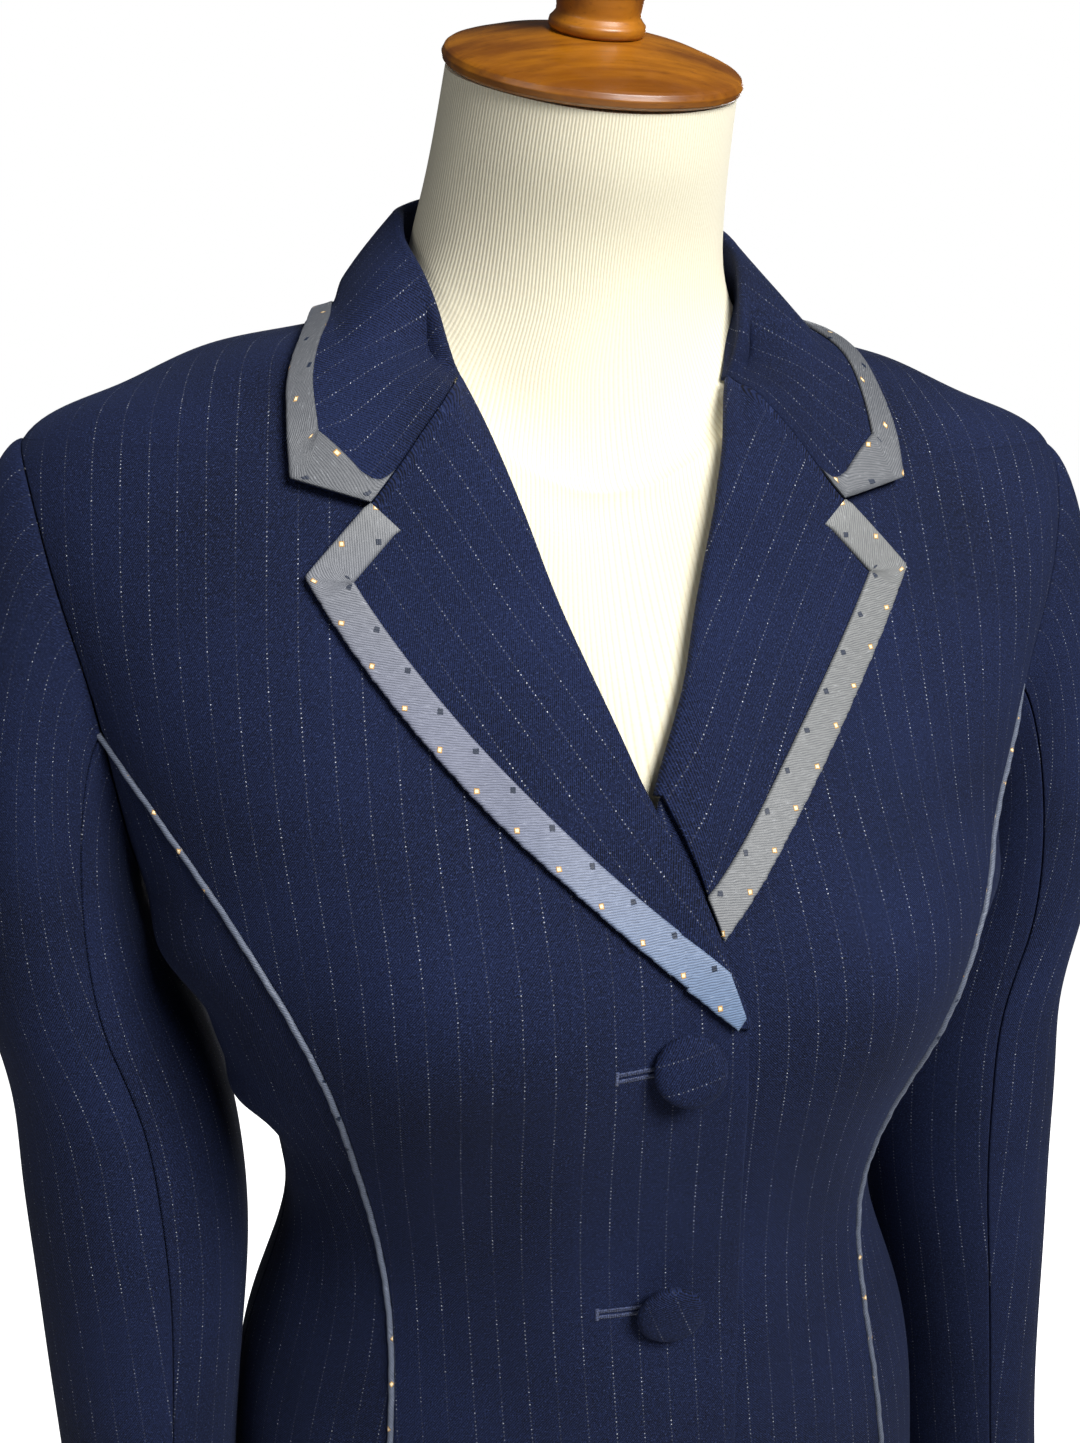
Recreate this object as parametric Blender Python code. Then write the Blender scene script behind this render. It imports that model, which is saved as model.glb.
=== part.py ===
"""A fitted, stripe-cloth show jacket with bound collar and lapels, worn by a limbless dress form on a round stand.

Metres, +Z up. The floor is at Z = 0, the wearer faces -Y and the wearer's left is +X. Every cloth piece is a
wall taken from one figure surface, which is lofted through the rings of the FIGURE table.
"""

import math
from typing import NamedTuple

import bmesh
import bpy
import numpy as np
from mathutils import Matrix, Vector

# ---------------------------------------------------------------- driving sizes

WAIST = 1.050            # height of the waist line above the floor
GAP = 0.0003             # space left between two pieces that touch or are sewn together
CLOTH = 0.0016           # wall of the body and sleeve cloth with its canvas
FACING = 0.0013          # wall of the lapels and of the collar
TRIM = 0.0010            # wall of the silk bands on the collar and lapels
TRIM_WIDTH = 0.0122      # width of the silk bands
PIPING = 0.0011          # radius of the silk piping in the princess seams

BREAK = 0.108            # height above the waist where the lapel starts to roll
CROSSING = 0.177         # height above the waist where the two roll lines cross
ROLL_SLOPE = 0.331       # how far a roll line runs outwards for each metre that it rises
UNDERARM = 0.147         # height of the lowest point of the armhole
ARMHOLE_FRONT = 0.040    # how far the armhole reaches in front of the shoulder line
ARMHOLE_BACK = 0.050     # how far it reaches behind

BUTTON_HEIGHTS = (0.1010, 0.0010, -0.0990)
BUTTON_DROOP = (0.0, math.radians(14), math.radians(8))


class Ring(NamedTuple):
    """One level of the figure; heights are above the waist line, and y is negative in front."""

    name: str
    height: float        # of the side point, at the side seam or on the shoulder line
    half_width: float
    side_y: float
    front_y: float
    front_height: float
    back_y: float
    back_height: float
    square: float        # 2 is an ellipse, more is squarer
    rise: float          # 1 tilts the ring as a plane, 2 saddles it over the shoulders
    ease: float          # room between form and jacket at the side; less than 0 is a wider neck above the jacket
    front_ease: float    # the same at the centre front and centre back


FIGURE = (
    #    name              height  width   side_y   front_y  front_h  back_y  back_h  square rise  ease    front
    Ring("form foot",      -0.275, 0.160,  0.010,  -0.108,  -0.275,   0.124, -0.275,  2.3,   2.0,  0.0060, 0.0060),
    Ring("hem",            -0.240, 0.158,  0.010,  -0.112,  -0.240,   0.127, -0.240,  2.3,   2.0,  0.0070, 0.0070),
    Ring("hip",            -0.140, 0.1475, 0.007,  -0.117,  -0.140,   0.118, -0.140,  2.3,   2.0,  0.0060, 0.0060),
    Ring("high hip",       -0.060, 0.1385, 0.004,  -0.117,  -0.060,   0.098, -0.060,  2.25,  2.0,  0.0060, 0.0060),
    Ring("waist",           0.008, 0.1195, 0.000,  -0.115,   0.008,   0.078,  0.008,  2.2,   2.0,  0.0040, 0.0060),
    Ring("ribs",            0.060, 0.1345, -0.002, -0.123,   0.060,   0.088,  0.060,  2.3,   2.0,  0.0040, 0.0060),
    Ring("bust",            0.120, 0.1585, -0.003, -0.131,   0.120,   0.104,  0.120,  2.45,  2.0,  0.0040, 0.0060),
    Ring("underarm",        0.165, 0.1710, -0.003, -0.118,   0.163,   0.113,  0.165,  2.45,  2.0,  0.0040, 0.0060),
    Ring("across chest",    0.225, 0.1870, -0.005, -0.092,   0.217,   0.119,  0.224,  2.75,  2.0,  0.0035, 0.0055),
    Ring("armhole",         0.268, 0.1980, -0.008, -0.078,   0.245,   0.117,  0.258,  2.75,  2.0,  0.0030, 0.0055),
    Ring("shoulder point",  0.3025, 0.1945, -0.0097, -0.068,  0.268,   0.110,  0.287,  2.4,   2.0,  0.0022, 0.0050),
    Ring("outer shoulder",  0.3195, 0.163, -0.007, -0.062,   0.278,   0.100,  0.309,  2.3,   2.0,  0.0016, 0.0048),
    Ring("mid shoulder",    0.3335, 0.130, -0.004,  -0.056,   0.288,   0.089,  0.328,  2.2,   2.0,  0.0012, 0.0045),
    Ring("neckline",        0.3520, 0.068,  0.002,  -0.0485,  0.297,   0.060,  0.362,  2.0,   1.9,  0.0046, 0.0048),
    Ring("neck base",       0.3640, 0.0575, -0.003, -0.0470,  0.326,   0.044,  0.384,  2.0,   1.2,  -0.0020, 0.0042),
    Ring("neck middle",     0.3930, 0.0540, -0.019, -0.0640,  0.370,   0.027,  0.415,  2.0,   1.0,  0.0, 0.0),
    Ring("neck top",        0.4241, 0.0500, -0.0385, -0.0832, 0.4034,  0.0062, 0.4448,  2.0,   1.0,  0.0, 0.0),
)


class Bust(NamedTuple):
    """The fullness that the princess seams give each side of the front."""

    apex_x: float = 0.078
    apex_height: float = 0.122
    depth: float = 0.013
    spread_x: float = 0.050
    spread_height: float = 0.052


BUST = Bust()


class Fold(NamedTuple):
    """A soft drag fold of the cloth; a trough has a negative depth."""

    height: float
    degrees: float       # round from the centre front
    depth: float
    spread_height: float
    spread_degrees: float
    slant: float         # how far it drops for each radian towards the side


FOLDS = (
    Fold(0.1280, 74, 0.0042, 0.0130, 17, 0.030),
    Fold(0.1000, 76, -0.0022, 0.0100, 15, 0.030),
    Fold(0.0680, 74, 0.0050, 0.0100, 16, 0.035),
    Fold(0.0400, 78, -0.0020, 0.0100, 16, 0.030),
)


class Station(NamedTuple):
    """How far a seam or an edge lies from the centre front at one height above the waist."""

    height: float
    x: float


PRINCESS = (
    Station(-0.240, 0.116),
    Station(-0.150, 0.105),
    Station(-0.080, 0.0970),
    Station(-0.040, 0.0925),
    Station(0.000, 0.0910),
    Station(0.040, 0.0970),
    Station(0.070, 0.1040),
    Station(0.100, 0.1125),
    Station(0.135, 0.1290),
    Station(0.161, 0.1450),
    Station(0.181, 0.1590),
    Station(0.200, 0.1720),
    Station(0.225, 0.1880),
)
FRONT_EDGE = (
    Station(-0.240, 0.0225),
    Station(-0.100, 0.0235),
    Station(-0.030, 0.0265),
    Station(0.010, 0.0270),
    Station(0.060, 0.0245),
    Station(0.113, 0.0212),
)


class Flat(NamedTuple):
    """A point of the lapel or collar, drawn on the front: x from the centre and height above the waist."""

    x: float
    height: float


GORGE = Flat(0.0473, 0.3200)
NOTCH = Flat(0.0835, 0.2800)
PEAK = Flat(0.1055, 0.2578)
LAPEL_BULGE_TOP = Flat(0.0830, 0.2120)
LAPEL_BULGE_LOW = Flat(0.0300, 0.1555)
LAPEL_TIP = Flat(-0.0212, 0.1080)


class CollarRow(NamedTuple):
    """One section of the collar; heights are above the waist, the angle is where its stand meets the neckline."""

    name: str
    roll_x: float
    roll_y: float
    roll_height: float
    edge_x: float
    edge_y: float
    edge_height: float
    angle: float


COLLAR = (
    #          name             roll x   roll y   height  edge x   edge y  height  angle
    CollarRow("gorge",          0.0473, -0.0430, 0.3200, 0.1080, -0.0670, 0.2880, 46),
    CollarRow("front",          0.0539, -0.0395, 0.3389, 0.1080, -0.0594, 0.3051, 62),
    CollarRow("front shoulder", 0.0585, -0.0297, 0.3574, 0.1049, -0.0453, 0.3187, 78),
    CollarRow("shoulder",       0.0623, -0.0160, 0.3710, 0.0975, -0.0204, 0.3317, 93),
    CollarRow("back shoulder",  0.0608,  0.0010, 0.3825, 0.0906,  0.0103, 0.3423, 108),
    CollarRow("side back",      0.0556,  0.0236, 0.3890, 0.0827,  0.0417, 0.3472, 125),
    CollarRow("back",           0.0417,  0.0448, 0.3957, 0.0631,  0.0695, 0.3497, 142),
    CollarRow("near centre",    0.0218,  0.0563, 0.3989, 0.0336,  0.0854, 0.3506, 161),
    CollarRow("centre back",    0.0000,  0.0605, 0.4003, 0.0000,  0.0905, 0.3513, 180),
)


class SleeveRing(NamedTuple):
    """One level of a hanging sleeve, as an ellipse."""

    height: float
    centre_x: float
    centre_y: float
    half_x: float
    half_y: float


SLEEVE = (
    SleeveRing(0.090, 0.1900, 0.012, 0.0375, 0.0650),
    SleeveRing(0.060, 0.1825, 0.010, 0.0398, 0.0620),
    SleeveRing(0.030, 0.1795, 0.007, 0.0417, 0.0605),
    SleeveRing(-0.010, 0.1782, 0.004, 0.0412, 0.0590),
    SleeveRing(-0.050, 0.1795, 0.001, 0.0380, 0.0570),
    SleeveRing(-0.110, 0.1815, -0.003, 0.0332, 0.0540),
    SleeveRing(-0.160, 0.1840, -0.007, 0.0318, 0.0510),
    SleeveRing(-0.215, 0.1895, -0.013, 0.0300, 0.0470),
    SleeveRing(-0.272, 0.1945, -0.019, 0.0290, 0.0440),
)


# ---------------------------------------------------------------- the figure surface

def spline(knots, values, at):
    """A natural cubic curve through the values, read at the given places."""
    knots = np.asarray(knots, float)
    values = np.asarray(values, float)
    at = np.asarray(at, float)
    step = np.diff(knots)
    rate = np.diff(values) / step
    count = len(knots)
    system = np.eye(count)
    target = np.zeros(count)
    for i in range(1, count - 1):
        system[i, i - 1] = step[i - 1]
        system[i, i] = 2 * (step[i - 1] + step[i])
        system[i, i + 1] = step[i]
        target[i] = 6 * (rate[i] - rate[i - 1])
    bend = np.linalg.solve(system, target)
    i = np.clip(np.searchsorted(knots, at, side="right") - 1, 0, count - 2)
    before = at - knots[i]
    after = knots[i + 1] - at
    line = (values[i] * after + values[i + 1] * before) / step[i]
    low = bend[i] * (after ** 3 / step[i] - step[i] * after)
    high = bend[i + 1] * (before ** 3 / step[i] - step[i] * before)
    return line + (low + high) / 6


def column(name):
    """One column of the figure table."""
    return np.array([getattr(ring, name) for ring in FIGURE])


SIDE_LINE = np.stack([column("half_width"), column("side_y"), column("height")], axis=1)
LEVELS = np.concatenate([[0.0], np.cumsum(np.linalg.norm(np.diff(SIDE_LINE, axis=0), axis=1))])


def level_of(name):
    """The level, a length along the side line, of a named ring."""
    return LEVELS[[ring.name for ring in FIGURE].index(name)]


def read(name, level):
    """A column of the table at any level."""
    return spline(LEVELS, column(name), level)


def bare_point(angle, level):
    """A point of the figure: angle 0 is the centre front, pi the centre back, positive on the wearer's left."""
    angle, level = np.broadcast_arrays(np.asarray(angle, float), np.asarray(level, float))
    front = np.cos(angle) > 0
    side_y = read("side_y", level)
    depth = np.where(front, side_y - read("front_y", level), read("back_y", level) - side_y)
    power = read("square", level)
    across = np.abs(np.sin(angle)) / read("half_width", level)
    along = np.abs(np.cos(angle)) / depth
    radius = (across ** power + along ** power) ** (-1 / power)
    x = radius * np.sin(angle)
    y = side_y - radius * np.cos(angle)
    middle = np.where(front, read("front_height", level), read("back_height", level))
    side = read("height", level)
    z = side + (middle - side) * np.abs(np.cos(angle)) ** read("rise", level)
    beside, above = (np.abs(x) - BUST.apex_x) / BUST.spread_x, (z - BUST.apex_height) / BUST.spread_height
    y = y - np.where(front, BUST.depth * np.exp(-beside ** 2 - above ** 2) * np.minimum(1, 3 * np.cos(angle)), 0)
    push = fold_depth(np.abs(angle), side)
    return np.stack([x + push * np.sin(angle), y - push * np.cos(angle), z + WAIST], axis=-1)


def fold_depth(angle, height):
    """How far the folds push the cloth out."""
    push = 0
    for fold in FOLDS:
        off_angle = angle - math.radians(fold.degrees)
        off_height = height - fold.height + fold.slant * off_angle
        push = push + fold.depth * np.exp(-(off_height / fold.spread_height) ** 2
                                          - (off_angle / math.radians(fold.spread_degrees)) ** 2)
    return push


def figure_normal(angle, level):
    """The outward direction of the figure there."""
    small = 1e-4
    around = bare_point(angle + small, level) - bare_point(angle - small, level)
    upward = bare_point(angle, level + small) - bare_point(angle, level - small)
    normal = np.cross(around, upward)
    return normal / np.linalg.norm(normal, axis=-1, keepdims=True)


def skin(angle, level, out=0.0):
    """A point at a distance out from the inner face of the jacket."""
    out = np.asarray(out, float)
    return bare_point(angle, level) + figure_normal(angle, level) * out[..., None]


def halve(test, low, high, turns=40):
    """The place between low and high where the rising test passes zero, for arrays."""
    low, high = np.array(low, float), np.array(high, float)
    for _ in range(turns):
        middle = (low + high) / 2
        above = test(middle) > 0
        high = np.where(above, middle, high)
        low = np.where(above, low, middle)
    return (low + high) / 2


def front_samples():
    """Angles, levels, x and heights over the front, where a search may start."""
    levels = np.linspace(LEVELS[0], level_of("neckline") + 0.012, 160)
    angle, level = np.meshgrid(np.linspace(-0.5, 1.45, 90), levels)
    place = bare_point(angle, level)
    return angle.ravel(), level.ravel(), place[..., 0].ravel(), place[..., 2].ravel() - WAIST


FRONT_ANGLES, FRONT_LEVELS, FRONT_X, FRONT_HEIGHTS = front_samples()


def locate(x, z, turns=10):
    """The angle and level of the front point with this x and this height above the waist."""
    x, z = np.broadcast_arrays(np.asarray(x, float), np.asarray(z, float))
    miss = (FRONT_X - x[..., None]) ** 2 + (FRONT_HEIGHTS - z[..., None]) ** 2
    nearest = np.argmin(miss, axis=-1)
    angle, level = FRONT_ANGLES[nearest], FRONT_LEVELS[nearest]
    small = 1e-5
    for _ in range(turns):
        here = bare_point(angle, level)
        by_angle = (bare_point(angle + small, level) - here) / small
        by_level = (bare_point(angle, level + small) - here) / small
        miss_x = x - here[..., 0]
        miss_z = z + WAIST - here[..., 2]
        scale = by_angle[..., 0] * by_level[..., 2] - by_level[..., 0] * by_angle[..., 2]
        angle = angle + np.clip((miss_x * by_level[..., 2] - miss_z * by_level[..., 0]) / scale, -0.03, 0.03)
        level = level + np.clip((miss_z * by_angle[..., 0] - miss_x * by_angle[..., 2]) / scale, -0.01, 0.01)
    return angle, level


def on_front(x, z, out=0.0):
    """A point of the front, given by x and height above the waist, at a distance out from the jacket's inner face."""
    angle, level = locate(x, z)
    return skin(angle, level, np.broadcast_to(out, angle.shape))


def table(rows, at, field="x"):
    """A smooth reading of a table of stations at the given heights."""
    return spline([row.height for row in rows], [getattr(row, field) for row in rows], at)


def ramp(value, low, high):
    """0 below low, 1 above high, and smooth between."""
    share = np.clip((value - low) / (high - low), 0, 1)
    return share * share * (3 - 2 * share)


# ---------------------------------------------------------------- seam lines

NECKLINE = level_of("neckline")
SHOULDER = level_of("shoulder point")
FOOT = level_of("hem")
ARMPIT = float(halve(lambda v: read("height", v) - UNDERARM, LEVELS[0], SHOULDER))
PRINCESS_TOP = 0.219     # height where the princess seam meets the armhole
SEAM = math.pi / 2       # angle of the side seam and of the shoulder seam


def armhole_y(level, front):
    """The y of the armhole's front or back edge at a level."""
    share = np.clip((level - ARMPIT) / (SHOULDER - ARMPIT), 0, 1)
    reach = np.sqrt(np.maximum(0, 1 - (2 * share - 1) ** 2))
    return read("side_y", level) - reach * ARMHOLE_FRONT if front else read("side_y", level) + reach * ARMHOLE_BACK


def angle_at_y(level, y):
    """The angle of the point at this level with this y, near the side."""
    shape = np.shape(level)
    return halve(lambda a: bare_point(a, level)[..., 1] - y, np.full(shape, 0.35), np.full(shape, math.pi - 0.35))


PAST_CENTRE, NEAR_SIDE = -0.45, 1.52     # angles between which a line of the front is looked for


def angle_at_line(level, line, low=PAST_CENTRE, high=NEAR_SIDE):
    """The angle where a level crosses a line of the front, given as x by height above the waist."""

    def beyond(angle):
        place = bare_point(angle, level)
        return place[..., 0] - line(place[..., 2] - WAIST)

    shape = np.shape(level)
    return halve(beyond, np.full(shape, low), np.full(shape, high))


def roll_x(height):
    """Distance of a roll line from the centre front."""
    return (height - CROSSING) * ROLL_SLOPE


def inner_edge(height):
    """Inner edge of a front: its closing edge, then the roll line."""
    return np.maximum(roll_x(height), -table(FRONT_EDGE, np.minimum(height, FRONT_EDGE[-1].height)))


def princess_x(height):
    """Distance of a princess seam from the centre front."""
    return table(PRINCESS, height)


def seam_angle(level):
    """The side seam, then the front edge of the armhole, then the shoulder seam."""
    in_armhole = (level > ARMPIT) & (level < SHOULDER)
    return np.where(in_armhole, angle_at_y(level, armhole_y(level, True)), SEAM)


def back_angle(level):
    """The side seam, then the back edge of the armhole, then the shoulder seam."""
    in_armhole = (level > ARMPIT) & (level < SHOULDER)
    return np.where(in_armhole, angle_at_y(level, armhole_y(level, False)), SEAM)


def above_princess_top(level):
    """How far a level's place on the armhole lies above the top of the princess seam."""
    return bare_point(seam_angle(level), level)[..., 2] - WAIST - PRINCESS_TOP


PRINCESS_LEVEL = float(halve(above_princess_top, ARMPIT, SHOULDER))

# ---------------------------------------------------------------- building cloth

FINISHES = {}


def finish(name, colour, roughness, metallic=0.0):
    """A plain material, made once."""
    if name not in FINISHES:
        material = bpy.data.materials.new(name)
        material.use_nodes = True
        shader = material.node_tree.nodes["Principled BSDF"]
        shader.inputs["Base Color"].default_value = (*colour, 1)
        shader.inputs["Roughness"].default_value = roughness
        shader.inputs["Metallic"].default_value = metallic
        FINISHES[name] = material
    return FINISHES[name]


def add_object(name, bm, material):
    """An object of its own mesh, shaded smooth between its sharp edges."""
    mesh = bpy.data.meshes.new(name)
    bm.to_mesh(mesh)
    bm.free()
    mesh.materials.append(material)
    mesh.shade_smooth()
    mesh.set_sharp_from_angle(angle=math.radians(50))
    piece = bpy.data.objects.new(name, mesh)
    bpy.context.scene.collection.objects.link(piece)
    return piece


def place_grid(bm, points):
    """A grid with its points at the given places, rows by columns, added to a mesh."""
    rows, columns = points.shape[:2]
    made = bmesh.ops.create_grid(bm, x_segments=columns - 1, y_segments=rows - 1, size=1.0)["verts"]
    for vert, place in zip(made, points.reshape(-1, 3)):
        vert.co = place
    return np.array(made, dtype=object).reshape(rows, columns)


def rim(verts):
    """The grid's edge points in order, round it once."""
    return [*verts[0, :-1], *verts[:-1, -1], *verts[-1, :0:-1], *verts[:0:-1, 0]]


def cloth(name, inner, outer, material):
    """A cloth piece: a wall between two grids of points, closed round its edges."""
    bm = bmesh.new()
    outer_verts = place_grid(bm, outer)
    inner_verts = place_grid(bm, inner)
    linked = {face for vert in inner_verts.ravel() for face in vert.link_faces}
    bmesh.ops.reverse_faces(bm, faces=list(linked))
    outside, inside = rim(outer_verts), rim(inner_verts)
    for i in range(len(outside)):
        bm.faces.new((outside[i - 1], inside[i - 1], inside[i], outside[i]))
    return add_object(name, bm, material)


def tube(name, rings, material):
    """A closed tube through rings of points; the first and last ring are filled."""
    bm = bmesh.new()
    place_grid(bm, np.concatenate([rings, rings[:, :1]], axis=1))
    bmesh.ops.remove_doubles(bm, verts=bm.verts[:], dist=1e-6)
    bmesh.ops.holes_fill(bm, edges=[edge for edge in bm.edges if edge.is_boundary], sides=0)
    bmesh.ops.recalc_face_normals(bm, faces=bm.faces[:])
    return add_object(name, bm, material)


def grid_normals(points):
    """Outward directions of a grid whose columns run to the right and rows run up, seen from outside."""
    normal = np.cross(np.gradient(points, axis=1), np.gradient(points, axis=0))
    return normal / np.linalg.norm(normal, axis=-1, keepdims=True)


def hand(points, side):
    """The grid on the wearer's left, or its mirror on the right, still facing out."""
    return points if side == "left" else points[:, ::-1] * np.array([-1, 1, 1])


def between(start, end, count):
    """Rows of evenly spaced values from one array to another."""
    share = np.linspace(0, 1, count)
    return start[:, None] * (1 - share) + end[:, None] * share


# ---------------------------------------------------------------- body panels

TO_WAIST = np.linspace(FOOT, level_of("waist"), 6)
BELOW_ARMHOLE = np.concatenate([TO_WAIST[:-1], np.linspace(level_of("waist"), ARMPIT, 9)])
ARMHOLE_STEPS = ARMPIT + (SHOULDER - ARMPIT) * (1 - np.cos(np.linspace(0, math.pi, 12))) / 2
ABOVE_ARMHOLE = np.linspace(SHOULDER, NECKLINE - 0.0036, 8)
BODY_LEVELS = np.concatenate([BELOW_ARMHOLE[:-1], ARMHOLE_STEPS, ABOVE_ARMHOLE[1:]])


OVERLAP = CLOTH + 3 * GAP       # how far the outer front is raised over the inner one


def seam_gap(level):
    """Half of a seam's gap, as an angle."""
    return GAP * 0.6 / read("half_width", level)


def overlap_lift(x, height):
    """How far the wearer's right front is raised where it laps over the left; x is negative past the centre."""
    return OVERLAP * (1 - ramp(x, 0.030, 0.062)) * (1 - ramp(height, CROSSING + 0.02, CROSSING + 0.07))


def build_panel(name, side, level, first, last, columns, material):
    """A panel between two seam angles on each level."""
    angle = between(first + seam_gap(level), last - seam_gap(level), columns)
    level = np.broadcast_to(level[:, None], angle.shape)
    out = np.zeros(angle.shape)
    if name == "front" and side == "right":
        place = bare_point(angle, level)
        out = overlap_lift(place[..., 0], place[..., 2] - WAIST)
    inner, outer = skin(angle, level, out), skin(angle, level, out + CLOTH)
    cloth(f"{name}_{side}", hand(inner, side), hand(outer, side), material)


def build_body(side, material):
    """The three pieces of one side: front, side front and back."""
    level = BODY_LEVELS
    on_princess = angle_at_line(level, princess_x)
    front_end = np.where(level < PRINCESS_LEVEL, np.minimum(on_princess, seam_angle(level)), seam_angle(level))
    build_panel("front", side, level, angle_at_line(level, inner_edge), front_end, 9, material)
    build_panel("back", side, level, back_angle(level), np.full(level.shape, math.pi), 9, material)
    level = np.append(BODY_LEVELS[BODY_LEVELS < PRINCESS_LEVEL - 0.004], PRINCESS_LEVEL - 0.002)
    start = angle_at_line(level, princess_x)
    build_panel("side_front", side, level, start, np.maximum(seam_angle(level), start + 0.02), 5, material)


# ---------------------------------------------------------------- sleeves

FRONT_ARM_SEAM = math.radians(105)
BACK_ARM_SEAM = math.radians(-120)


def armhole_point(turn):
    """The armhole's edge and its outward direction: turn 0 is the shoulder, a quarter is the front."""
    level = ARMPIT + (SHOULDER - ARMPIT) * (1 + np.cos(turn)) / 2
    reach = np.where(np.sin(turn) > 0, ARMHOLE_FRONT, ARMHOLE_BACK)
    angle = angle_at_y(level, read("side_y", level) - reach * np.sin(turn))
    return bare_point(angle, level), figure_normal(angle, level)


def sleeve_ring(height, turn):
    """A point of the hanging part of the sleeve."""
    rings = SLEEVE[::-1]
    heights = [ring.height for ring in rings]
    names = SleeveRing._fields[1:]
    size = {name: spline(heights, [getattr(ring, name) for ring in rings], height) for name in names}
    x = size["centre_x"] + size["half_x"] * np.cos(turn)
    y = size["centre_y"] - size["half_y"] * np.sin(turn)
    return np.stack(np.broadcast_arrays(x, y, WAIST + height), axis=-1)


def sleeve_head(share, turn):
    """A point between the armhole, share 0, and the first hanging ring, share 1."""
    edge, normal = armhole_point(turn)
    crown = ((1 + np.cos(turn)) / 2)[..., None]
    leave = np.array([0.40, 0, -1]) * (1 - crown) + np.array([1.0, 0, -0.10]) * crown
    leave = leave / np.linalg.norm(leave, axis=-1, keepdims=True)
    start = edge + normal * (CLOTH + GAP) + leave * GAP * 1.6
    end = sleeve_ring(SLEEVE[0].height, turn)
    first = leave * (0.030 + 0.030 * crown)
    last = np.array([0, 0, -1]) * (0.040 + 0.200 * crown)
    t = np.asarray(share)[..., None]
    return (start * (2 * t ** 3 - 3 * t ** 2 + 1) + first * (t ** 3 - 2 * t ** 2 + t)
            + end * (3 * t ** 2 - 2 * t ** 3) + last * (t ** 3 - t ** 2))


def sleeve_rows(turn):
    """Points of the sleeve at these turns, from the cuff up to the armhole."""
    columns = len(turn)
    hanging = np.linspace(SLEEVE[-1].height, SLEEVE[0].height, 9)
    rows = [sleeve_ring(np.full(columns, height), turn) for height in hanging]
    rows += [sleeve_head(np.full(columns, share), turn) for share in np.linspace(1, 0, 8)[1:]]
    return np.stack(rows)


def build_sleeve(side, material):
    """Upper and under sleeve, joined along the forearm and the hindarm."""
    parting, small = math.radians(0.25), 1e-3
    spans = {
        "upper": (FRONT_ARM_SEAM - parting, BACK_ARM_SEAM + parting, 12),
        "under": (BACK_ARM_SEAM + 2 * math.pi - parting, FRONT_ARM_SEAM + parting, 7),
    }
    for name, (first, last, columns) in spans.items():
        turn = np.linspace(first, last, columns)
        outer = sleeve_rows(turn)
        around = sleeve_rows(turn - small) - sleeve_rows(turn + small)
        normal = np.cross(around, np.gradient(outer, axis=0))
        normal /= np.linalg.norm(normal, axis=-1, keepdims=True)
        inner = outer - normal * CLOTH
        cloth(f"sleeve_{name}_{side}", hand(inner, side), hand(outer, side), material)


# ---------------------------------------------------------------- lapels and their bands

LAPEL_AIR = 0.0009                   # room between a front and the lapel that lies on it
COLLAR_AIR = 0.0026                  # room between the body and the collar that lies on it
GORGE_LIFT_FROM = 0.2450             # height where a lapel starts to rise to the collar
ROLL_RADIUS = CLOTH / 2 + LAPEL_AIR  # inner radius of the fold round a front's edge
TOWARDS_OPENING = np.array([-1.0, ROLL_SLOPE]) / math.hypot(1.0, ROLL_SLOPE)


class LapelCut(NamedTuple):
    """Where one lapel starts: the upper lapel runs to the closing edge, the lower one stops under it."""

    roll_from: float     # height where the fold starts
    outline_from: float  # place on the outer curve, 0 at the peak and 1 at the tip
    lift_under: bool     # lies on the front that laps over


LAPELS = {"right": LapelCut(0.1140, 0.975, True), "left": LapelCut(0.1880, 0.755, False)}


def outer_curve(share):
    """The lapel's outer edge, from its peak, 0, to its tip, 1, as x and height."""
    share = np.asarray(share, float)[..., None]
    stops = [np.array(p) for p in (PEAK, LAPEL_BULGE_TOP, LAPEL_BULGE_LOW, LAPEL_TIP)]
    rest = 1 - share
    return (stops[0] * rest ** 3 + 3 * stops[1] * rest ** 2 * share
            + 3 * stops[2] * rest * share ** 2 + stops[3] * share ** 3)


def lapel_flat(cut, rows, shares):
    """The lapel drawn flat: rows from its low end to the gorge, columns from the fold to the outer edge."""
    up = np.linspace(0, 1, rows)[:, None]
    roll_height = cut.roll_from + (GORGE.height - cut.roll_from) * up
    roll = np.stack([roll_x(roll_height), roll_height], axis=-1)
    edge = outer_curve(cut.outline_from * (1 - up))
    across = np.asarray(shares)[None, :, None]
    flat = roll * (1 - across) + edge * across
    corner_at = NOTCH_SHARE
    chord = np.array(GORGE) * (1 - corner_at) + np.array(PEAK) * corner_at
    tent = np.minimum(across / corner_at, (1 - across) / (1 - corner_at))
    bend = (ramp(up, 0.45, 1.0) ** 1.5)[..., None]
    return flat + bend * tent * (np.array(NOTCH) - chord)


NOTCH_SHARE = 0.63
LAPEL_SHARES = (0.0, 0.12, 0.30, 0.47, NOTCH_SHARE, 0.82, 1.0)
SEAM_STEP = np.array([-0.0003, -0.0006])     # the lapel's top edge stays clear of the collar


def front_lift(flat, laps_over):
    """The raised outer front under a piece, or nothing."""
    return overlap_lift(flat[..., 0], flat[..., 1]) if laps_over else np.zeros(flat.shape[:-1])


def gorge_lift(flat):
    """The lapel rises a little to meet the collar at the gorge seam."""
    return (COLLAR_AIR + GAP - LAPEL_AIR) * ramp(flat[..., 1], GORGE_LIFT_FROM, NOTCH.height)


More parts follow.
